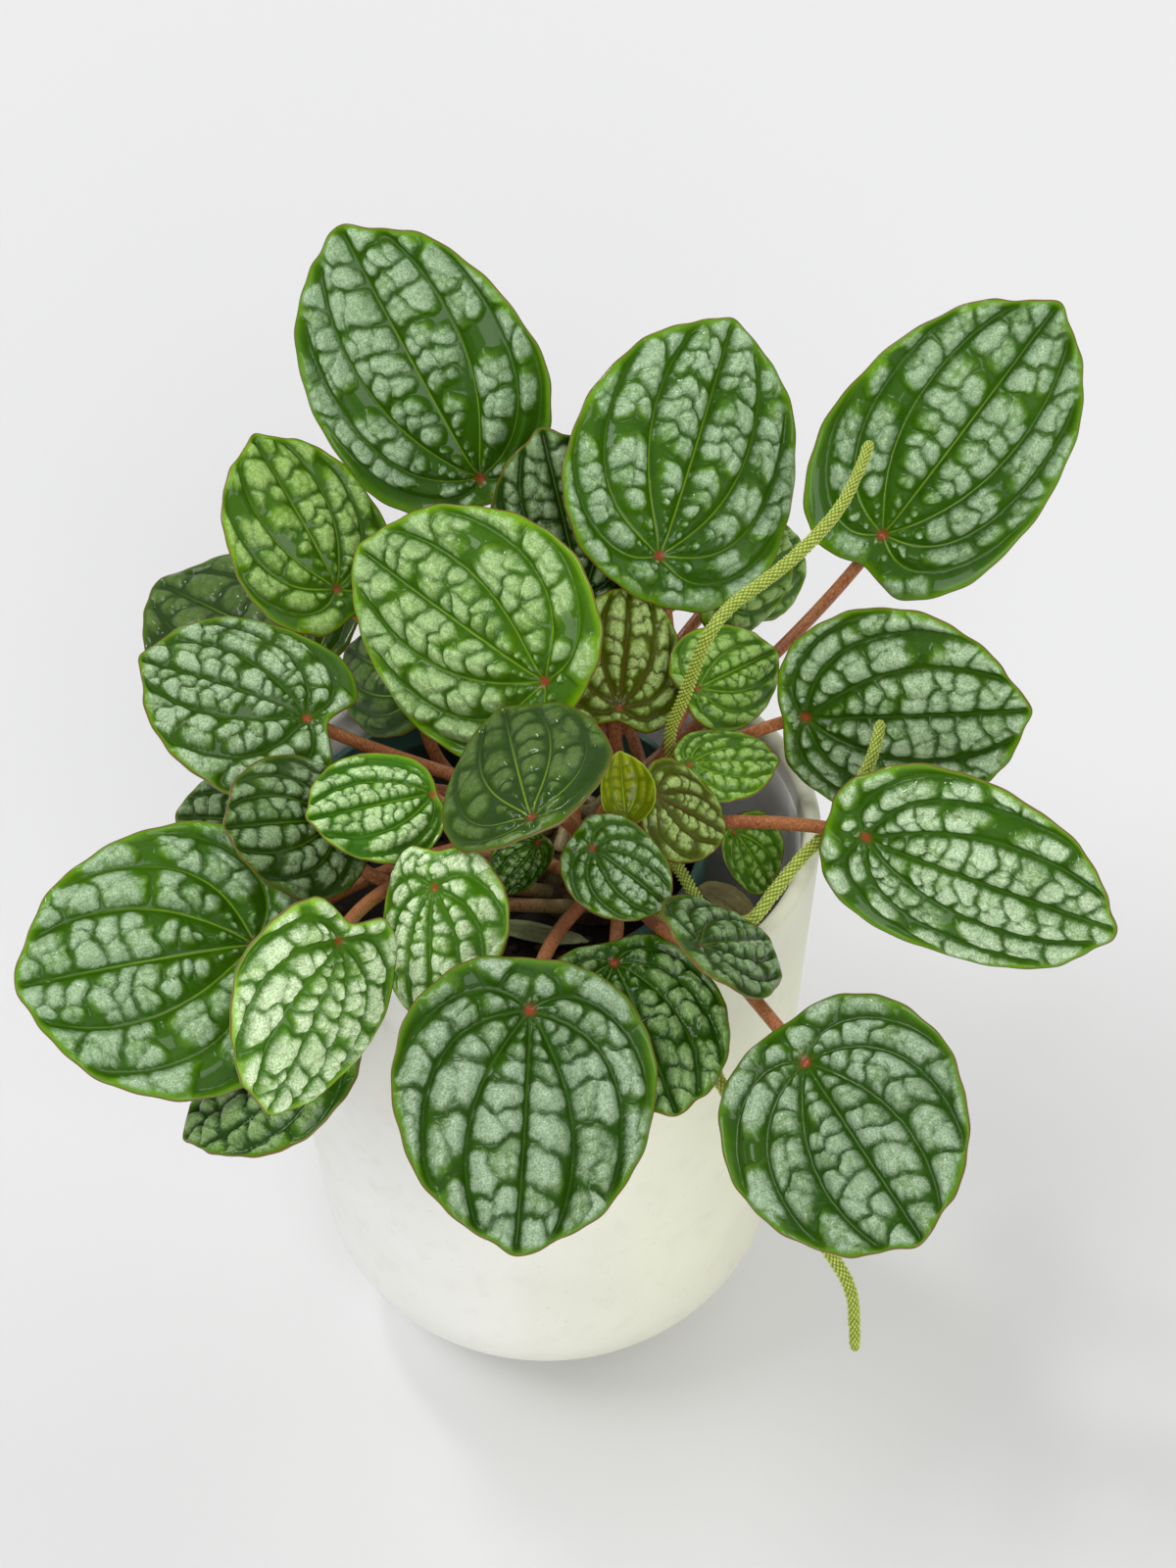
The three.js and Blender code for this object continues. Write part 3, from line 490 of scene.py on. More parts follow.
class Venation:
    """A blade's main veins, and the quilt lobes in the fields between them."""

    def __init__(self, size, cell, gap):
        self.size, self.cell, self.gap = size, cell, gap
        turns = np.linspace(-pi, pi, 721)
        edge = blade_edge(size, turns)
        self.directions = np.unwrap(np.arctan2(edge[:, 0], edge[:, 1]))
        self.speeds = np.hypot(*np.gradient(edge, turns, axis=0).T)
        self.turns = turns
        self.veins = {}
        for side in (-1, 1):
            for number, (direction, end, bend) in enumerate(SIDE_VEINS):
                start = np.interp(radians(direction + rng.uniform(-4, 4)), self.directions, turns)
                self.veins[side, number] = (start, end + rng.uniform(-0.06, 0.06), bend)
        self.seeds, self.sizes, self.fields, self.rows = self.scatter()

    def turn_of(self, side, number, share):
        """Outline angle of a side vein at a share of the way to the edge."""
        if number < 0:
            return 0 * share
        if number == LAST_FIELD:
            return pi + 0 * share
        start, end, bend = self.veins[side, number]
        return end + (start - end) * (1 - np.clip(share, 0, 1) ** bend)

    def point(self, side, turn, share):
        return blade_edge(self.size, side * np.asarray(turn)) * np.asarray(share)[..., None]

    def scatter(self):
        """Middles and sizes of the lobes, in rows that climb outwards, and each one's field and row."""
        seeds, sizes, fields, rows = [], [], [], []
        for side in (-1, 1):
            for number in range(LAST_FIELD + 1):
                slant = 0.5 if number < LAST_FIELD else 0.1
                for row, (share, local, reach, width) in enumerate(self.field_rows(side, number)):
                    clear = self.gap * self.cell * (1.3 - 0.9 * float(smooth(0.1, 0.7, share)))
                    usable = max(width - 2 * clear, 0.35 * local)
                    columns = max(1, round(usable / (1.05 * local)))
                    for column in range(columns):
                        place = clear + usable * (column + 0.5 + rng.uniform(-0.2, 0.2)) / columns
                        across = min(place / max(width, 0.1), 0.5 + 0.5 * (columns > 1))
                        climb = slant * (across - 0.5) * width / reach + column % 2 * 0.25 * local / reach
                        own = share + climb + rng.uniform(-0.15, 0.15) * local / reach
                        low = self.turn_of(side, number - 1, own)
                        high = self.turn_of(side, number, own)
                        seeds.append(self.point(side, low + (high - low) * across, own))
                        sizes.append(min(1.25 * local, 1.3 * usable / columns) * rng.uniform(0.75, 1.15))
                        fields.append(side * (number + 1))
                        rows.append(row)
        return np.array(seeds), np.array(sizes), np.array(fields), np.array(rows)

    def field_rows(self, side, number):
        """Each row's share of the way out, lobe size, length of the way and width of the field there."""
        rows = []
        share = FIRST_ROW
        while share < 1:
            local = self.cell * (0.55 + 0.55 * float(smooth(0.05, 0.6, share))) * rng.uniform(0.75, 1.25)
            inner = self.turn_of(side, number - 1, share)
            outer = self.turn_of(side, number, share)
            reach = norm(blade_edge(self.size, side * (inner + outer) / 2))
            ends = self.point(side, np.array([inner, outer]), np.array([share, share]))
            rows.append((share, local, reach, norm(ends[1] - ends[0])))
            share += (0.85 + (len(rows) % 3 == 0) * (0.2 + self.gap)) * local / reach
        last, local, reach, _ = rows[-1]
        stretch = min((1 - 0.35 * local / reach - FIRST_ROW) / max(last - FIRST_ROW, 0.1), 1.4)
        return [(FIRST_ROW + (share - FIRST_ROW) * stretch, *rest) for share, *rest in rows]

    def polar(self, points):
        """Each point's outline angle, its share of the way out, and its side."""
        turn = np.interp(np.arctan2(points[:, 0], points[:, 1]), self.directions, self.turns)
        share = np.hypot(*points.T) / np.hypot(*blade_edge(self.size, turn).T)
        return turn, share, np.where(turn < 0, -1, 1)

    def lanes(self, points):
        """Each point's place across the veins, whole on each vein, the width between the two veins beside
        it, and its outline angle."""
        turn, share, side = self.polar(points)
        lane, wide = np.zeros((2, len(points)))
        speed = share * np.interp(turn, self.turns, self.speeds)
        for vein_side in (-1, 1):
            for number in range(LAST_FIELD + 1):
                low = self.turn_of(vein_side, number - 1, share)
                high = self.turn_of(vein_side, number, share)
                here = (side == vein_side) & (np.abs(turn) >= low) & (np.abs(turn) <= high)
                across = (np.abs(turn) - low) / np.maximum(high - low, 1e-6)
                lane[here] = vein_side * (number + across[here])
                wide[here] = ((high - low) * speed)[here]
        return lane, wide, turn

    def measure(self, points):
        """For each point: distance to a main vein, distance from the middle of its lobe and from the
        lobe's border in lobes, the lobe, and its share of the way out."""
        turn, share, side = self.polar(points)
        field = np.ones(len(points), int)
        steps = np.linspace(0, 0.97, 40)
        veins = distance_to_line(points, self.point(1, 0 * steps, steps))
        for vein_side, number in self.veins:
            passed = (side == vein_side) & (np.abs(turn) > self.turn_of(vein_side, number, share))
            field[passed] = np.maximum(field[passed], number + 2)
            line = self.point(vein_side, self.turn_of(vein_side, number, steps), steps)
            veins = np.minimum(veins, distance_to_line(points, line))
        moved = points
        for length, phase in ((2.1, 1), (0.8, 2)):
            bend = np.sin(2 * pi / (length * self.cell) * moved[:, ::-1] + [phase, phase + 1])
            moved = moved + 0.055 * length * self.cell * bend
        near, crease = np.ones((2, len(points)))
        lobe = np.zeros(len(points), int)
        for own in np.unique(side * field):
            here = np.flatnonzero(side * field == own)
            choice = np.flatnonzero(self.fields == own)
            gaps = norm(moved[here, None] - self.seeds[choice][None], axis=2) / self.sizes[choice]
            order = np.argsort(gaps, axis=1)[:, :2]
            nearest = np.take_along_axis(gaps, order, 1)
            near[here] = nearest[:, 0]
            beside = self.rows[choice][order[:, 0]] == self.rows[choice][order[:, -1]]
            crease[here] = nearest[:, -1] - nearest[:, 0] + JOINED * beside
            lobe[here] = choice[order[:, 0]]
        return veins, near, crease, lobe, share


def blade(leaf, finish, grid_step=GRID_STEP):
    """Points, faces and attributes of a quilted blade, and the height of its upper face at the stalk."""
    length, width, lobe, _ = leaf.size
    scale = sqrt(length * width)
    cell = finish.cell * scale
    half = max(LEAST_GRID, round(scale / grid_step)) // 2
    share, angle, quads, rim = disc_grid(2 * half)
    edge = blade_edge(leaf.size, angle)
    middle = np.array([0, (length - lobe) / 2])
    ripple = rng.uniform(0, 2 * pi, 3)
    scallop = 1 + 0.006 * np.sin(11 * angle + ripple[0]) + 0.004 * np.sin(23 * angle + ripple[1])
    flat = middle + (edge - middle) * (share * (1 + (scallop - 1) * share**4))[:, None]
    inward = (1 - share) * norm(edge - middle, axis=1)
    venation = Venation(leaf.size, cell, finish.gap)
    vein, near, crease, number, reach = venation.measure(flat)
    lane, wide, turn = venation.lanes(flat)
    dimple, next_dimple = worley(flat, 0.5 * cell)
    strength = rng.uniform(0.45, 1, len(venation.seeds))[number] * (0.55 + 0.45 * smooth(0.05, 0.4, reach))

    # The relief: fine pebbles on domed lobes, fields that rise between the veins, all level at the edge,
    # and a hollow over the stalk.
    pebble = smooth(0, 0.5, next_dimple - dimple) * (1 - np.clip(dimple, 0, 1) ** 2)
    dome = np.sqrt(np.clip(1 - (near / 0.8) ** 2, 0, 1)) * smooth(0, 0.45, crease)
    rise = 1 - np.exp(-((vein / (0.045 * scale)) ** 1.2))
    fade = smooth(0, 0.045 * scale, inward)
    lumps = smooth(0, 0.05 * scale, vein) * dome * (0.6 + 0.3 * strength + 0.25 * pebble)
    from_stalk = np.hypot(*flat.T)
    hollow = scale * 0.022 * np.exp(-((from_stalk / (0.06 * scale)) ** 2))
    wave = 0.012 * scale * share**6 * np.sin(5 * angle + ripple[2])
    base = blade_bow(leaf, *flat.T) + wave - hollow + BLADE_RAISE
    base -= scale * 0.5 * (finish.puff + finish.pillow) * fade
    top = base + scale * (finish.puff * rise + finish.pillow * lumps) * fade
    thickness = EDGE_THICKNESS + EXTRA_THICKNESS * smooth(0, THICKENING, inward)
    bottom = base + scale * finish.puff * rise * fade - thickness

    across, along, out = leaf_axes(leaf.turn)
    level = np.array(leaf.at) + flat[:, :1] * across + flat[:, 1:] * along
    even = np.arange(0, 2 * half + 1, 2)
    below = (even[:, None] * (2 * half + 1) + even).ravel()
    _, _, under_quads, under_rim = disc_grid(half)
    under_rim = under_rim + len(flat)
    points = np.concatenate([level + top[:, None] * out, (level + bottom[:, None] * out)[below]])
    faces = quads.tolist() + (under_quads[:, ::-1] + len(flat)).tolist()
    sides = [rim[::2], under_rim, np.roll(under_rim, -1), np.roll(rim[::2], -1), rim[1::2]]
    faces += np.stack(sides, -1).tolist()

    silver = strength * smooth(0.78, 0.3, near) * (0.2 + 0.8 * smooth(0, 0.3, crease)) * (0.68 + 0.5 * pebble)
    silver = silver * smooth(0.2, 1.3, vein) * smooth(0, 0.035 * scale, inward)
    attributes = {
        "silver": silver,
        "lift": lumps,
        "lane": lane,
        "wide": wide,
        "line": smooth(0.98, 0.3, reach) * smooth(2.95, 2.75, np.abs(turn)) * smooth(0.8, 2.5, from_stalk),
        "edge": np.exp(-((inward / (0.03 * scale)) ** 2)),
        "rim": np.exp(-((inward / 0.35) ** 2)),
        "dot": np.exp(-((from_stalk / (0.013 * scale + 0.35)) ** 2)),
    }
    attributes = {key: np.concatenate([values, values[below]]) for key, values in attributes.items()}
    attributes["under"] = np.repeat([0, 1], [len(flat), len(below)])
    return points, faces, attributes, top[np.argmin(from_stalk)]


def around(centre, radius, angle):
    return np.array(centre) + radius * np.array([cos(angle), sin(angle)])


def root_point(root):
    ring, place = root
    radius, stalks, turn = CROWN_RINGS[ring]
    angle = 2 * pi * (place + turn) / stalks
    height = CROWN_HEIGHT * sqrt(1 - (radius / CROWN_RADIUS) ** 2)
    return np.array([*around(CROWN_CENTRE, radius, angle), SOIL_TOP_Z + SEAT_GAP + height])


def ring_faces(rows, sides):
    """Faces between rows of points round a ring, and fans to the two end points that follow them."""
    start = np.arange(rows - 1)[:, None] * sides + np.arange(sides)
    after = np.arange(rows - 1)[:, None] * sides + (np.arange(sides) + 1) % sides
    faces = np.stack([start, after, after + sides, start + sides], -1).reshape(-1, 4).tolist()
    first = rows * sides
    base = first - sides
    for i in range(sides):
        faces.append([(i + 1) % sides, i, first])
        faces.append([base + i, base + (i + 1) % sides, first + 1])
    return faces


def tube(line, radii, sides):
    """Points and faces of a round tube of the given radius at each point of a line, and each point's ring."""
    line = np.asarray(line, float)
    heading = np.gradient(line, axis=0)
    heading /= norm(heading, axis=1)[:, None]
    side = np.cross(heading[0], [0.31, 0.73, 0.61])
    rings = []
    turns = turns_of(sides)
    radii = np.broadcast_to(np.asarray(radii, float).reshape(len(line), -1), (len(line), sides))
    for centre, ahead, radius in zip(line, heading, radii):
        side = side - (side @ ahead) * ahead
        side /= norm(side)
        other = np.cross(ahead, side)
        spokes = np.cos(turns)[:, None] * side + np.sin(turns)[:, None] * other
        rings.append(centre + radius[:, None] * spokes)
    points = np.concatenate(rings + [line[:1], line[-1:]])
    ring = np.concatenate([np.repeat(np.arange(len(line)), sides), [0, len(line) - 1]]) / (len(line) - 1)
    return points, ring_faces(len(line), sides), ring


def stalk_line(leaf, end):
    root = root_point(leaf.root)
    bend = np.array(leaf.bend, float)
    to_bend = (bend - root) / norm(bend - root)
    start = root - ROOT_DEPTH * to_bend
    length = norm(bend - start) + norm(end - bend)
    share = np.linspace(0, 1, max(12, round(length / STALK_STEP)))[:, None]
    return (1 - share) ** 2 * start + 2 * share * (1 - share) * bend + share**2 * end


def add_leaf(leaf, paints, stalk_paint):
    finish = FINISHES[leaf.look]
    points, faces, attributes, height = blade(leaf, finish)
    node = "leaf_" + leaf.name
    add_piece(leaf.name + "_blade", points, faces, paints[leaf.look], finish.slot, node, **attributes)
    out = leaf_axes(leaf.turn)[2]
    seat = height - STALK_SEAT
    line = stalk_line(leaf, np.array(leaf.at) + seat * out)
    share = np.linspace(0, 1, len(line))
    radii = STALK_RADIUS * (1.2 - 0.12 * share + 0.25 * np.exp(-share / 0.04) + 0.16 * smooth(0.93, 1, share))
    points, faces, ring = tube(line, radii, STALK_SIDES)
    above = (points - leaf.at) @ out - seat
    points -= np.where((above > 0) & (ring > 0.6), above, 0)[:, None] * out
    add_piece(leaf.name + "_stalk", points, faces, stalk_paint, finish.slot, node, along=ring)


def stalk_material():
    paint = Paint("stalk")
    along = paint.read("along")
    fleck = paint.noise(0.5, 2, (1, 1, 0.5))
    patch = paint.noise(9, 2)
    red = paint.mix(patch, (0.34, 0.085, 0.03), (0.5, 0.2, 0.07))
    base = paint.over((0.34, 0.3, 0.13), red, along, 0.02, 0.3)
    colour = paint.over(base, (0.5, 0.3, 0.16), fleck, 0.52, 0.7, 0.7)
    colour = paint.over(colour, (0.12, 0.03, 0.015), fleck, 0.47, 0.3, 0.6)
    paint.bump(fleck, 0.12, 0.5)
    return paint.finish(colour, 0.45, 0.4, Coat_Weight=0.1)


def spike_line(root, through):
    """Even points on a centripetal spline through a spike's route, and how far along it each one is."""
    first = np.array(through[0], float)
    base = root_point(root)
    start = base - ROOT_DEPTH * (first - base) / norm(first - base)
    knots = np.array([start, *through], float)
    knots = np.concatenate([[2 * knots[0] - knots[1]], knots, [2 * knots[-1] - knots[-2]]])
    pieces = []
    for p0, p1, p2, p3 in zip(knots, knots[1:], knots[2:], knots[3:]):
        d1, d2, d3 = (norm(b - a) ** 0.5 for a, b in ((p0, p1), (p1, p2), (p2, p3)))
        m1 = ((p1 - p0) / d1 - (p2 - p0) / (d1 + d2) + (p2 - p1) / d2) * d2
        m2 = ((p2 - p1) / d2 - (p3 - p1) / (d2 + d3) + (p3 - p2) / d3) * d2
        t = np.linspace(0, 1, 40, endpoint=False)[:, None]
        leaving = (2 * t**3 - 3 * t**2 + 1) * p1 + (t**3 - 2 * t**2 + t) * m1
        pieces.append(leaving + (3 * t**2 - 2 * t**3) * p2 + (t**3 - t**2) * m2)
    line = np.concatenate(pieces + [knots[-2:-1]])
    gone = np.concatenate([[0], np.cumsum(norm(np.diff(line, axis=0), axis=1))])
    even = np.arange(0, gone[-1], SPIKE_STEP)
    return np.stack([np.interp(even, gone, line[:, i]) for i in range(3)], -1), even


def add_spike(name, root, through, material):
    line, gone = spike_line(root, through)
    turns = turns_of(SPIKE_SIDES)
    left = gone[-1] - gone
    row = 2 * pi * gone[:, None] / KNOB_PAIR
    knob = np.cos(KNOBS_ROUND * turns + 0.25 * np.sin(row / 5)) * np.cos(row + 0.3 * np.sin(3 * turns))
    knob = np.maximum(knob, 0)
    bloom = smooth(8, 24, gone)[:, None]
    slim = 0.82 + 0.18 * smooth(0, 30, left)
    rounded = np.sqrt(np.clip(1 - (1 - left / 2.5).clip(0, 1) ** 2, 0.02, 1))
    core = SPIKE_RADIUS * (slim * rounded)[:, None] * (SPIKE_CORE + 0.02 * np.sin(gone / 7)[:, None])
    lumps = rng.uniform(0.7, 1.2, (len(gone) // 4 + 1, SPIKE_SIDES // 4))
    lumps = lumps.repeat(4, 0).repeat(4, 1)[: len(gone)]
    points, faces, ring = tube(line, core + bloom * KNOB_HEIGHT * knob**0.8 * lumps, SPIKE_SIDES)
    raised = np.concatenate([(bloom * knob).ravel(), [0, 0]])
    node = "flower_spike_" + name
    add_piece("spike_" + name, points, faces, material, "spike", node, along=ring, raised=raised)


def spike_material():
    paint = Paint("spike")
    fleck = paint.noise(0.6, 2)
    patch = paint.noise(12, 2)
    # The knob tops are yellow-green and the hollows between them dark green: partly the spike's own colour
    # and partly painted shade between the knobs.
    low = paint.mix(patch, (0.14, 0.22, 0.01), (0.2, 0.28, 0.02))
    high = paint.mix(fleck, (0.5, 0.6, 0.08), (0.72, 0.78, 0.2))
    colour = paint.over(low, high, paint.read("raised"), 0.02, 0.36)
    colour = paint.over(colour, (0.25, 0.1, 0.04), paint.read("along"), 0.25, 0.02, 0.5)
    paint.bump(fleck, 0.1, 0.5)
    return paint.finish(colour, 0.5, 0.35, Subsurface_Weight=0.05)


def turns_of(count):
    return np.linspace(0, 2 * pi, count, endpoint=False)


def arc(centre_radius, centre_height, radius, start, end, steps):
    angles = np.radians(np.linspace(start, end, steps + 1))
    return list(zip(centre_radius + radius * np.cos(angles), centre_height + radius * np.sin(angles)))


def turned(profile, segments, centre=(0, 0)):
    """A solid of revolution whose profile starts and ends on the axis."""
    profile = np.array(profile)
    turns = turns_of(segments)
    ring = profile[1:-1]
    x = ring[:, :1] * np.cos(turns)
    y = ring[:, :1] * np.sin(turns)
    z = np.broadcast_to(ring[:, 1:], x.shape)
    points = np.stack([x, y, z], -1).reshape(-1, 3)
    points = np.concatenate([points, [[0, 0, profile[0, 1]], [0, 0, profile[-1, 1]]]])
    points[:, :2] += centre
    return points, ring_faces(len(ring), segments)


def along_wall(start, end, steps):
    share = np.linspace(0, 1, steps + 1)[1:-1, None]
    return [tuple(point) for point in np.array(start) + share * (np.array(end) - np.array(start))]


def add_cachepot():
    slope = (POT_RIM_RADIUS - POT_BASE_RADIUS) / POT_HEIGHT
    tilt = degrees(atan(slope))
    stretch = hypot(1, slope)
    lip = POT_WALL / 2
    inner_bend = POT_FOOT_BEND - POT_WALL
    bend_centre = POT_BASE_RADIUS + slope * POT_FOOT_BEND - POT_FOOT_BEND * stretch
    inner_radius = lambda height: POT_BASE_RADIUS + slope * height - POT_WALL * stretch
    inner_centre = inner_radius(POT_FLOOR + inner_bend) - inner_bend * stretch - LEDGE_STEP
    ledge = POT_HEIGHT - LEDGE_DEPTH
    foot = arc(bend_centre, POT_FOOT_BEND, POT_FOOT_BEND, -90, -tilt, 28)
    rim = arc(POT_RIM_RADIUS - lip, POT_HEIGHT - lip, lip, 0, 180, 16)
    step = arc(inner_radius(ledge) - LEDGE_STEP, ledge, LEDGE_STEP, 0, -70, 3)
    hollow = arc(inner_centre, POT_FLOOR + inner_bend, inner_bend, -tilt, -90, 20)
    outer = [(0, 0), (bend_centre * 0.5, 0)] + foot + along_wall(foot[-1], rim[0], 22) + rim
    inner = step + along_wall(step[-1], hollow[0], 16) + hollow + [(0, POT_FLOOR)]
    segments = 160
    points, faces = turned(outer + inner, segments)
    inside = [*np.repeat([0, 1], [len(outer) - 1, len(inner) - 1]).repeat(segments), 0, 1]
    paint = Paint("glaze")
    cloud = paint.noise(60, 3)
    mottle = paint.noise(6, 4)
    speck = paint.noise(0.9, 2)
    # The right side of the pot is tinted yellow-green: a painted reflection of green light bounced from the
    # leaves.
    side = paint.node("SeparateXYZ", {0: paint.place})
    painted_leaf_reflection = paint.spread(side.outputs["X"], -0.05, 0.065)
    colour = paint.mix(painted_leaf_reflection, (0.87, 0.865, 0.85), (0.83, 0.845, 0.62))
    colour = paint.over(colour, (0.72, 0.71, 0.62), cloud, 0.35, 0.7, 0.5)
    colour = paint.over(colour, (0.62, 0.6, 0.5), mottle, 0.5, 0.75, 0.16)
    colour = paint.over(colour, (0.4, 0.36, 0.27), speck, 0.68, 0.74, 0.25)
    # Painted light: the inner wall is a flat near-white, brighter than the outside, so the hollow stays
    # bright despite the shade inside it.
    colour = paint.mix(paint.read("inside"), colour, (0.97, 0.97, 0.965))
    paint.bump(paint.sum(0, (mottle, 0.7), (speck, 0.3)), 0.12, 0.35)
    rough = paint.spread(cloud, 0.3, 0.7, 0.4, 0.52)
    material = paint.finish(colour, rough, 0.4, Coat_Weight=0.12, Coat_Roughness=0.3)
    add_piece("cachepot_glazed", points, faces, material, "glazed_pot", "cachepot", inside=inside)


def nursery_radius(height):
    share = (height - NURSERY_BASE_Z) / (NURSERY_TOP_Z - NURSERY_BASE_Z)
    return NURSERY_BASE_RADIUS + share * (NURSERY_RIM_RADIUS - NURSERY_BAND_STEP - NURSERY_BASE_RADIUS)


def add_nursery_pot():
    band = NURSERY_TOP_Z - NURSERY_BAND
    floor = NURSERY_BASE_Z + NURSERY_WALL
    rim = NURSERY_RIM_RADIUS
    inner_rim = rim - NURSERY_WALL
    lip = arc(rim - NURSERY_LIP, NURSERY_TOP_Z - NURSERY_LIP, NURSERY_LIP, 0, 90, 5)
    lip += arc(inner_rim, NURSERY_TOP_Z - NURSERY_INNER_LIP, NURSERY_INNER_LIP, 90, 180, 4)
    outer_base = (NURSERY_BASE_RADIUS, NURSERY_BASE_Z + 1)
    outer_top = (nursery_radius(band), band)
    inner_top = (nursery_radius(band) - NURSERY_WALL, band - 1)
    inner_base = (nursery_radius(floor) - NURSERY_WALL, floor)
    profile = [(0, NURSERY_BASE_Z), (NURSERY_BASE_RADIUS - 1, NURSERY_BASE_Z), outer_base]
    profile += along_wall(outer_base, outer_top, 12) + [outer_top, (rim - 0.3, band + 0.2), (rim, band + 0.6)]
    profile += lip + [(inner_rim - NURSERY_INNER_LIP, band + 2), inner_top]
    profile += along_wall(inner_top, inner_base, 12) + [inner_base, (0, floor)]
    points, faces = turned(profile, 96, NURSERY_CENTRE)
    paint = Paint("nursery_plastic")
    height = paint.node("SeparateXYZ", {0: paint.place}).outputs["Z"]
    dust = paint.noise(4, 4)
    fine = paint.noise(0.7, 2)
    colour = paint.mix(paint.noise(25, 2), (0.014, 0.032, 0.024), (0.024, 0.05, 0.036))
    band_share = paint.spread(height, (band - 0.5) * METRES, (band + 1) * METRES)
    colour = paint.mix(band_share, colour, (0.06, 0.16, 0.135))
    colour = paint.over(colour, (0.13, 0.11, 0.085), dust, 0.52, 0.8, 0.5)
    paint.bump(fine, 0.08, 0.5)
    rough = paint.spread(dust, 0.4, 0.8, 0.38, 0.65)
    material = paint.finish(colour, rough, 0.45)
    pot = add_piece("nursery_pot_moulded", points, faces, material, "plastic_pot", "nursery_pot")
    drill_holes(pot)


def drill_holes(pot):
    """Cuts the drain holes through the nursery pot's floor."""
    low, high = NURSERY_BASE_Z - 1, NURSERY_BASE_Z + 3
    profile = [(0, low), (DRAIN_RADIUS, low), (DRAIN_RADIUS, high), (0, high)]
    for angle in turns_of(DRAIN_HOLES):
        drill = add_mesh("drill", *turned(profile, 28, around(NURSERY_CENTRE, DRAIN_RING, angle)))
        cut = pot.modifiers.new("hole", "BOOLEAN")
        cut.operation = "DIFFERENCE"
        cut.object = drill
        bpy.context.view_layer.objects.active = pot
        bpy.ops.object.modifier_apply(modifier=cut.name)
        bpy.data.objects.remove(drill)


def lump(centre, radius, squash):
    """Points and faces of one small uneven grain."""
    rows, sides = 5, 8
    turns = turns_of(sides)
    polar = pi * np.arange(1, rows)[:, None] / rows
    out = np.sin(polar)
    rings = np.stack([out * np.cos(turns), out * np.sin(turns), np.cos(polar) + 0 * turns], -1)
    points = np.concatenate([[(0, 0, 1)], rings.reshape(-1, 3), [(0, 0, -1)]])
    points = points * rng.uniform(0.75, 1.2, (len(points), 1)) * squash * radius
    spin = np.array(Matrix.Rotation(rng.uniform(0, 6.28), 3, Vector(rng.normal(size=3)).normalized()))
    points = np.concatenate([points[1:-1], points[:1], points[-1:]])
    faces = [face[:1] + face[:0:-1] for face in ring_faces(rows - 1, sides)]
    return points @ spin.T + centre, faces


def spot_on_soil(reach):
    """A random place within reach of the nursery pot's axis."""
    angle, far = rng.uniform(0, 2 * pi), reach * sqrt(rng.uniform())
    return around(NURSERY_CENTRE, far, angle)


def add_soil():
    floor = NURSERY_BASE_Z + NURSERY_WALL + SEAT_GAP
    inside = lambda height: nursery_radius(height) - NURSERY_WALL - 2 * SEAT_GAP
    edge = SOIL_TOP_Z - SOIL_EDGE_DROP
    reach = inside(edge)
    profile = [(0, floor), (inside(floor), floor)]
    profile += along_wall((inside(floor), floor), (reach, edge), 6) + [(reach, edge)]
    for radius in np.arange(reach - 1, 0.5, -1):
        profile.append((radius, edge + SOIL_RISE * smooth(0, 8, reach - radius)))
    profile.append((0, edge + SOIL_RISE))
    points, faces = turned(profile, 128, NURSERY_CENTRE)
    top = points[:, 2] > edge - 0.1
    bumps = np.zeros(len(points))
    for _ in range(SOIL_BUMPS):
        spot = spot_on_soil(reach)
        size = rng.uniform(1.2, 3)
        bumps += rng.uniform(-0.5, 0.6) * np.exp(-(np.sum((points[:, :2] - spot) ** 2, 1) / size**2))
    rim_share = smooth(reach, reach - 3, np.hypot(*(points[:, :2] - NURSERY_CENTRE).T))
    points[:, 2] += np.where(top, np.clip(bumps, -1.2, 0.9) * rim_share, 0)
    shade = [np.zeros(len(points))]
    points = [points]
    for _ in range(SOIL_GRAINS):
        spot = spot_on_soil(reach - 2)
        radius = rng.uniform(0.6, 2.1)
        if dist(spot, CROWN_CENTRE) < CROWN_RADIUS + 1:
            continue
        squash = rng.uniform(0.5, 1, 3)
        grain, grain_faces = lump((*spot, SOIL_TOP_Z - 0.4), radius, squash)
        start = sum(map(len, points))
        faces += [[start + i for i in face] for face in grain_faces]
        points.append(grain)
        tone = rng.choice([0.1, 0.25, 0.4, 0.55, 1], p=[0.3, 0.3, 0.2, 0.15, 0.05])
        shade.append(np.full(len(grain), tone))
    points, shade = np.concatenate(points), np.concatenate(shade)
    add_piece("soil_bed", points, faces, soil_material(), "soil", "soil", shade=shade)


def soil_material():
    paint = Paint("soil_bed")
    fine = paint.noise(0.8, 4)
    damp = paint.noise(8, 3)
    dark = paint.mix(damp, (0.006, 0.005, 0.004), (0.028, 0.019, 0.012))
    bark = paint.mix(fine, (0.045, 0.024, 0.012), (0.12, 0.07, 0.04))
    shade = paint.read("shade")
    colour = paint.over(dark, bark, shade, 0.05, 0.6)
    colour = paint.over(colour, (0.5, 0.48, 0.42), shade, 0.7, 0.9)
    colour = paint.over(colour, (0.07, 0.05, 0.035), fine, 0.6, 0.75, 0.4)
    paint.bump(fine, 0.5, 0.8)
    return paint.finish(colour, 0.85, 0.3)


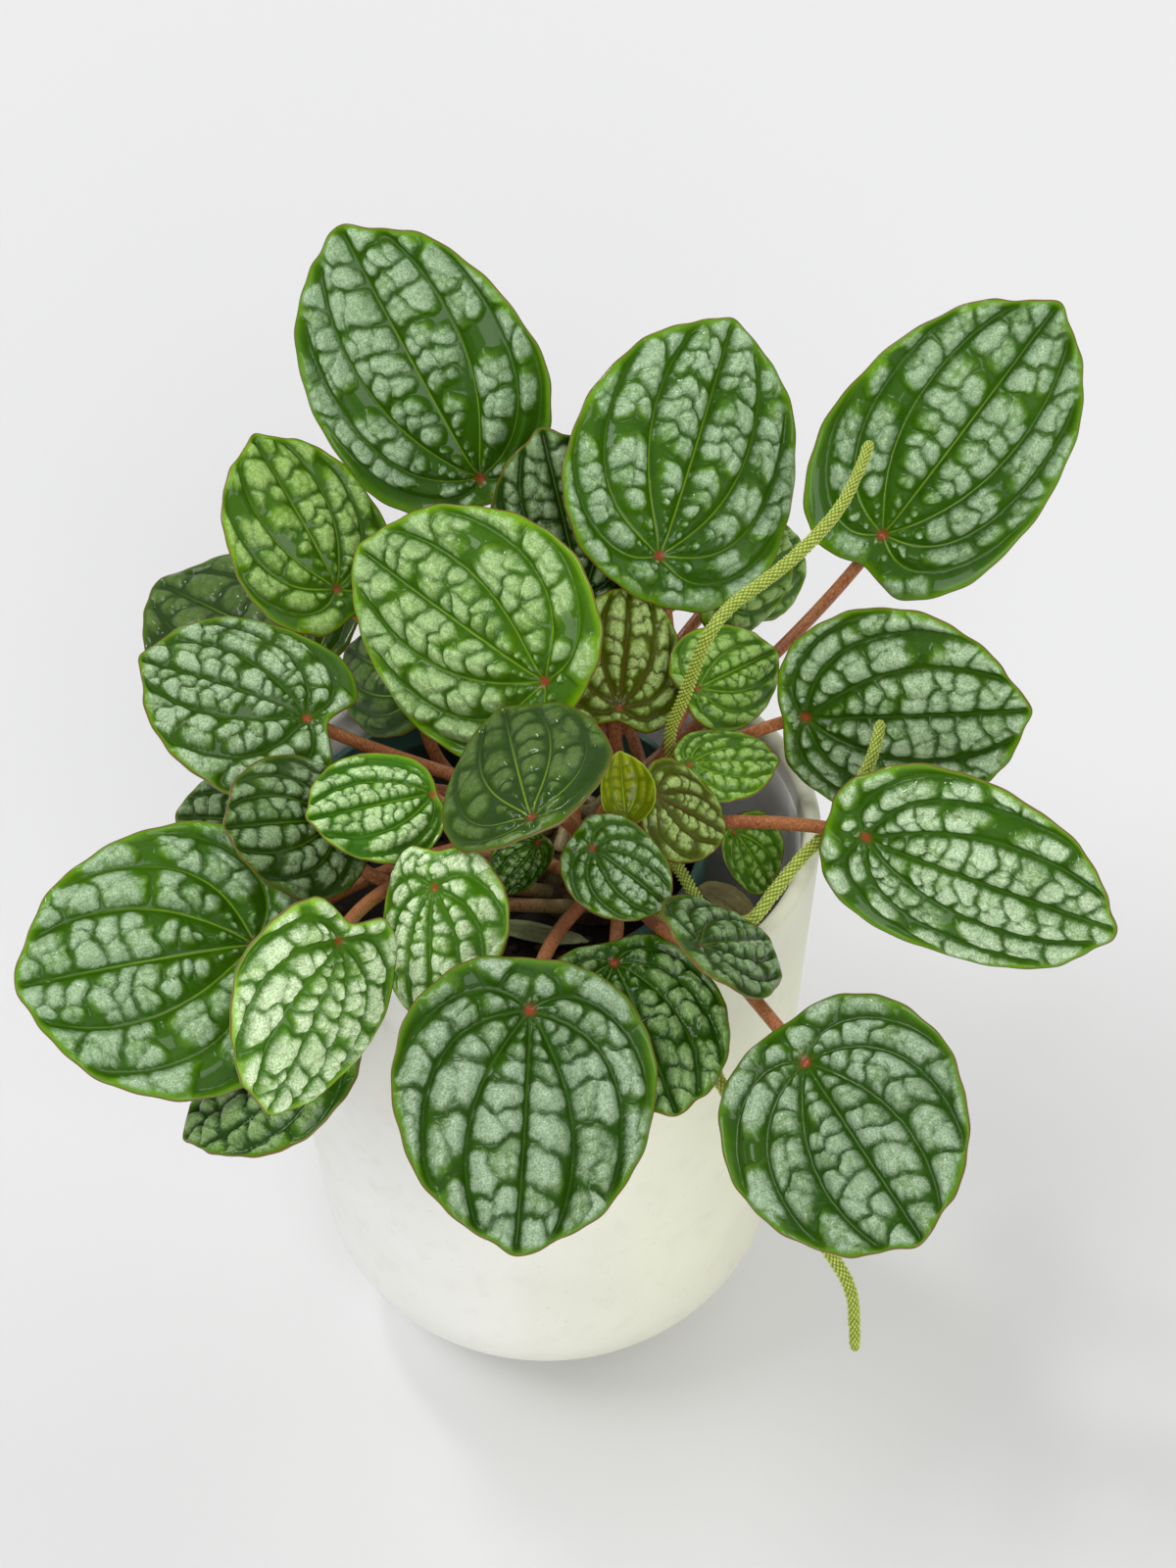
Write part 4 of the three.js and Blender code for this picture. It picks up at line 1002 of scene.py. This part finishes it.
def add_crown():
    rows, sides = 40, 120
    base = SOIL_TOP_Z
    radius, height = CROWN_RADIUS - CROWN_INSET, CROWN_HEIGHT - CROWN_INSET
    profile = [(0, base), (radius, base)]
    for angle in np.linspace(0.02, pi / 2, rows, endpoint=False):
        profile.append((radius * cos(angle), base + height * sin(angle)))
    profile.append((0, base + height))
    points, faces = turned(profile, sides, CROWN_CENTRE)
    outward = points - [*CROWN_CENTRE, base]
    outward /= np.maximum(norm(outward, axis=1), 1e-6)[:, None]
    lift = np.zeros(len(points))
    for ring, (_, stalks, _) in enumerate(CROWN_RINGS):
        for place in range(stalks):
            root = root_point((ring, place))
            gap = norm(points - root, axis=1)
            lift = np.maximum(lift, 1.3 * np.exp(-((gap / 1.9) ** 2)))
    for _ in range(CROWN_PITS):
        at = points[rng.integers(len(points))]
        lift += rng.uniform(-0.3, 0.4) * np.exp(-(np.sum((points - at) ** 2, 1) / rng.uniform(0.8, 2.2) ** 2))
    high = points[:, 2] > base + 0.2
    points = points + outward * np.where(high, np.clip(lift, -0.5, 1.4), 0)[:, None]
    paint = Paint("crown_bark")
    fine = paint.noise(0.9, 3)
    patch = paint.noise(5, 3)
    colour = paint.over((0.07, 0.04, 0.02), (0.26, 0.17, 0.07), paint.read("bud"), 0.1, 0.9)
    colour = paint.over(colour, (0.16, 0.18, 0.05), patch, 0.5, 0.7, 0.6)
    colour = paint.over(colour, (0.3, 0.2, 0.12), fine, 0.5, 0.75, 0.5)
    paint.bump(fine, 0.3, 0.7)
    material = paint.finish(colour, 0.6, 0.35)
    add_piece("crown_knobs", points, faces, material, "crown", "crown", bud=np.clip(lift / 1.3, 0, 1))


def loose_paint(look):
    light, dark, patch_colour = LOOSE_COLOURS[look]
    paint = Paint(look)
    streak = paint.noise(1.1, 3)
    patch = paint.noise(5, 3)
    colour = paint.mix(streak, dark, light)
    colour = paint.over(colour, patch_colour, patch, 0.5, 0.7, 0.6)
    colour = paint.mix(paint.times(paint.read("vein"), 0.6), colour, scaled(dark, 0.7))
    paint.bump(paint.sum(0, (streak, 0.6), (paint.cells(1.5), 0.4)), 0.3, 0.7)
    return paint.finish(colour, 0.62, 0.3)


def add_loose_leaf(leaf, material):
    shrivelled = FINISHES["plain"]._replace(cell=0.2, pillow=0.03, puff=0.05, gap=0.2)
    points, faces, attributes, _ = blade(leaf, shrivelled, LOOSE_GRID_STEP)
    add_piece(leaf.name + "_dry", points, faces, material, "dry_leaf", leaf.name, vein=attributes["line"])


def add_floor():
    corners = [(-1, -1), (1, -1), (1, 1), (-1, 1)]
    points = [(x * FLOOR_HALF, y * FLOOR_HALF, -FLOOR_DROP) for x, y in corners]
    floor = add_mesh("floor", points, [[0, 1, 2, 3]])
    paint = Paint("floor")
    tone = paint.mix(paint.noise(300, 1), (0.79, 0.79, 0.795), (0.8, 0.8, 0.805))
    floor.data.materials.append(paint.finish(tone, 0.9, 0.2))


def add_sun(name, towards, spread, strength):
    lamp = bpy.data.lights.new(name, "SUN")
    lamp.angle = radians(spread)
    lamp.energy = strength
    add_object(name, lamp).rotation_euler = Vector(towards).to_track_quat("Z", "Y").to_euler()


def add_camera():
    lens = bpy.data.cameras.new("camera")
    lens.lens = CAMERA_LENS
    lens.sensor_width = CAMERA_SENSOR
    lens.clip_start = 0.02
    lens.clip_end = 30
    camera = add_object("camera", lens)
    look = Matrix.Rotation(radians(CAMERA_TILT), 4, "X") @ Matrix.Rotation(CAMERA_ROLL, 4, "Z")
    camera.matrix_world = Matrix.Translation(Vector(CAMERA_PLACE) * METRES) @ look
    bpy.context.scene.camera = camera


def add_world():
    """A studio that is brighter at the sides than overhead."""
    world = bpy.data.worlds.new("studio")
    nodes = Nodes(world)
    place = nodes.node("TexCoord").outputs["Generated"]
    height = nodes.node("SeparateXYZ", {0: place}).outputs["Z"]
    back = nodes.tree.nodes["Background"]
    nodes.feed(back.inputs["Color"], (1, 1, 1))
    nodes.feed(back.inputs["Strength"], nodes.spread(height, 0.15, 0.85, WORLD_SIDES, WORLD_OVERHEAD))
    bpy.context.scene.world = world
    bpy.context.scene.view_settings.view_transform = "Standard"


add_camera()
add_world()
add_floor()
for sun_name, sun in SUNS.items():
    add_sun(sun_name, *sun)

leaf_paints = {kind: leaf_paint(kind) for kind in FINISHES}
stalks = stalk_material()
for row in LEAVES:
    add_leaf(Leaf(*row), leaf_paints, stalks)
spikes = spike_material()
for spike_name, (spike_root, route) in SPIKES.items():
    add_spike(spike_name, spike_root, route, spikes)
add_cachepot()
add_nursery_pot()
add_soil()
add_crown()
for row in LOOSE_LEAVES:
    add_loose_leaf(row, loose_paint(row.look))
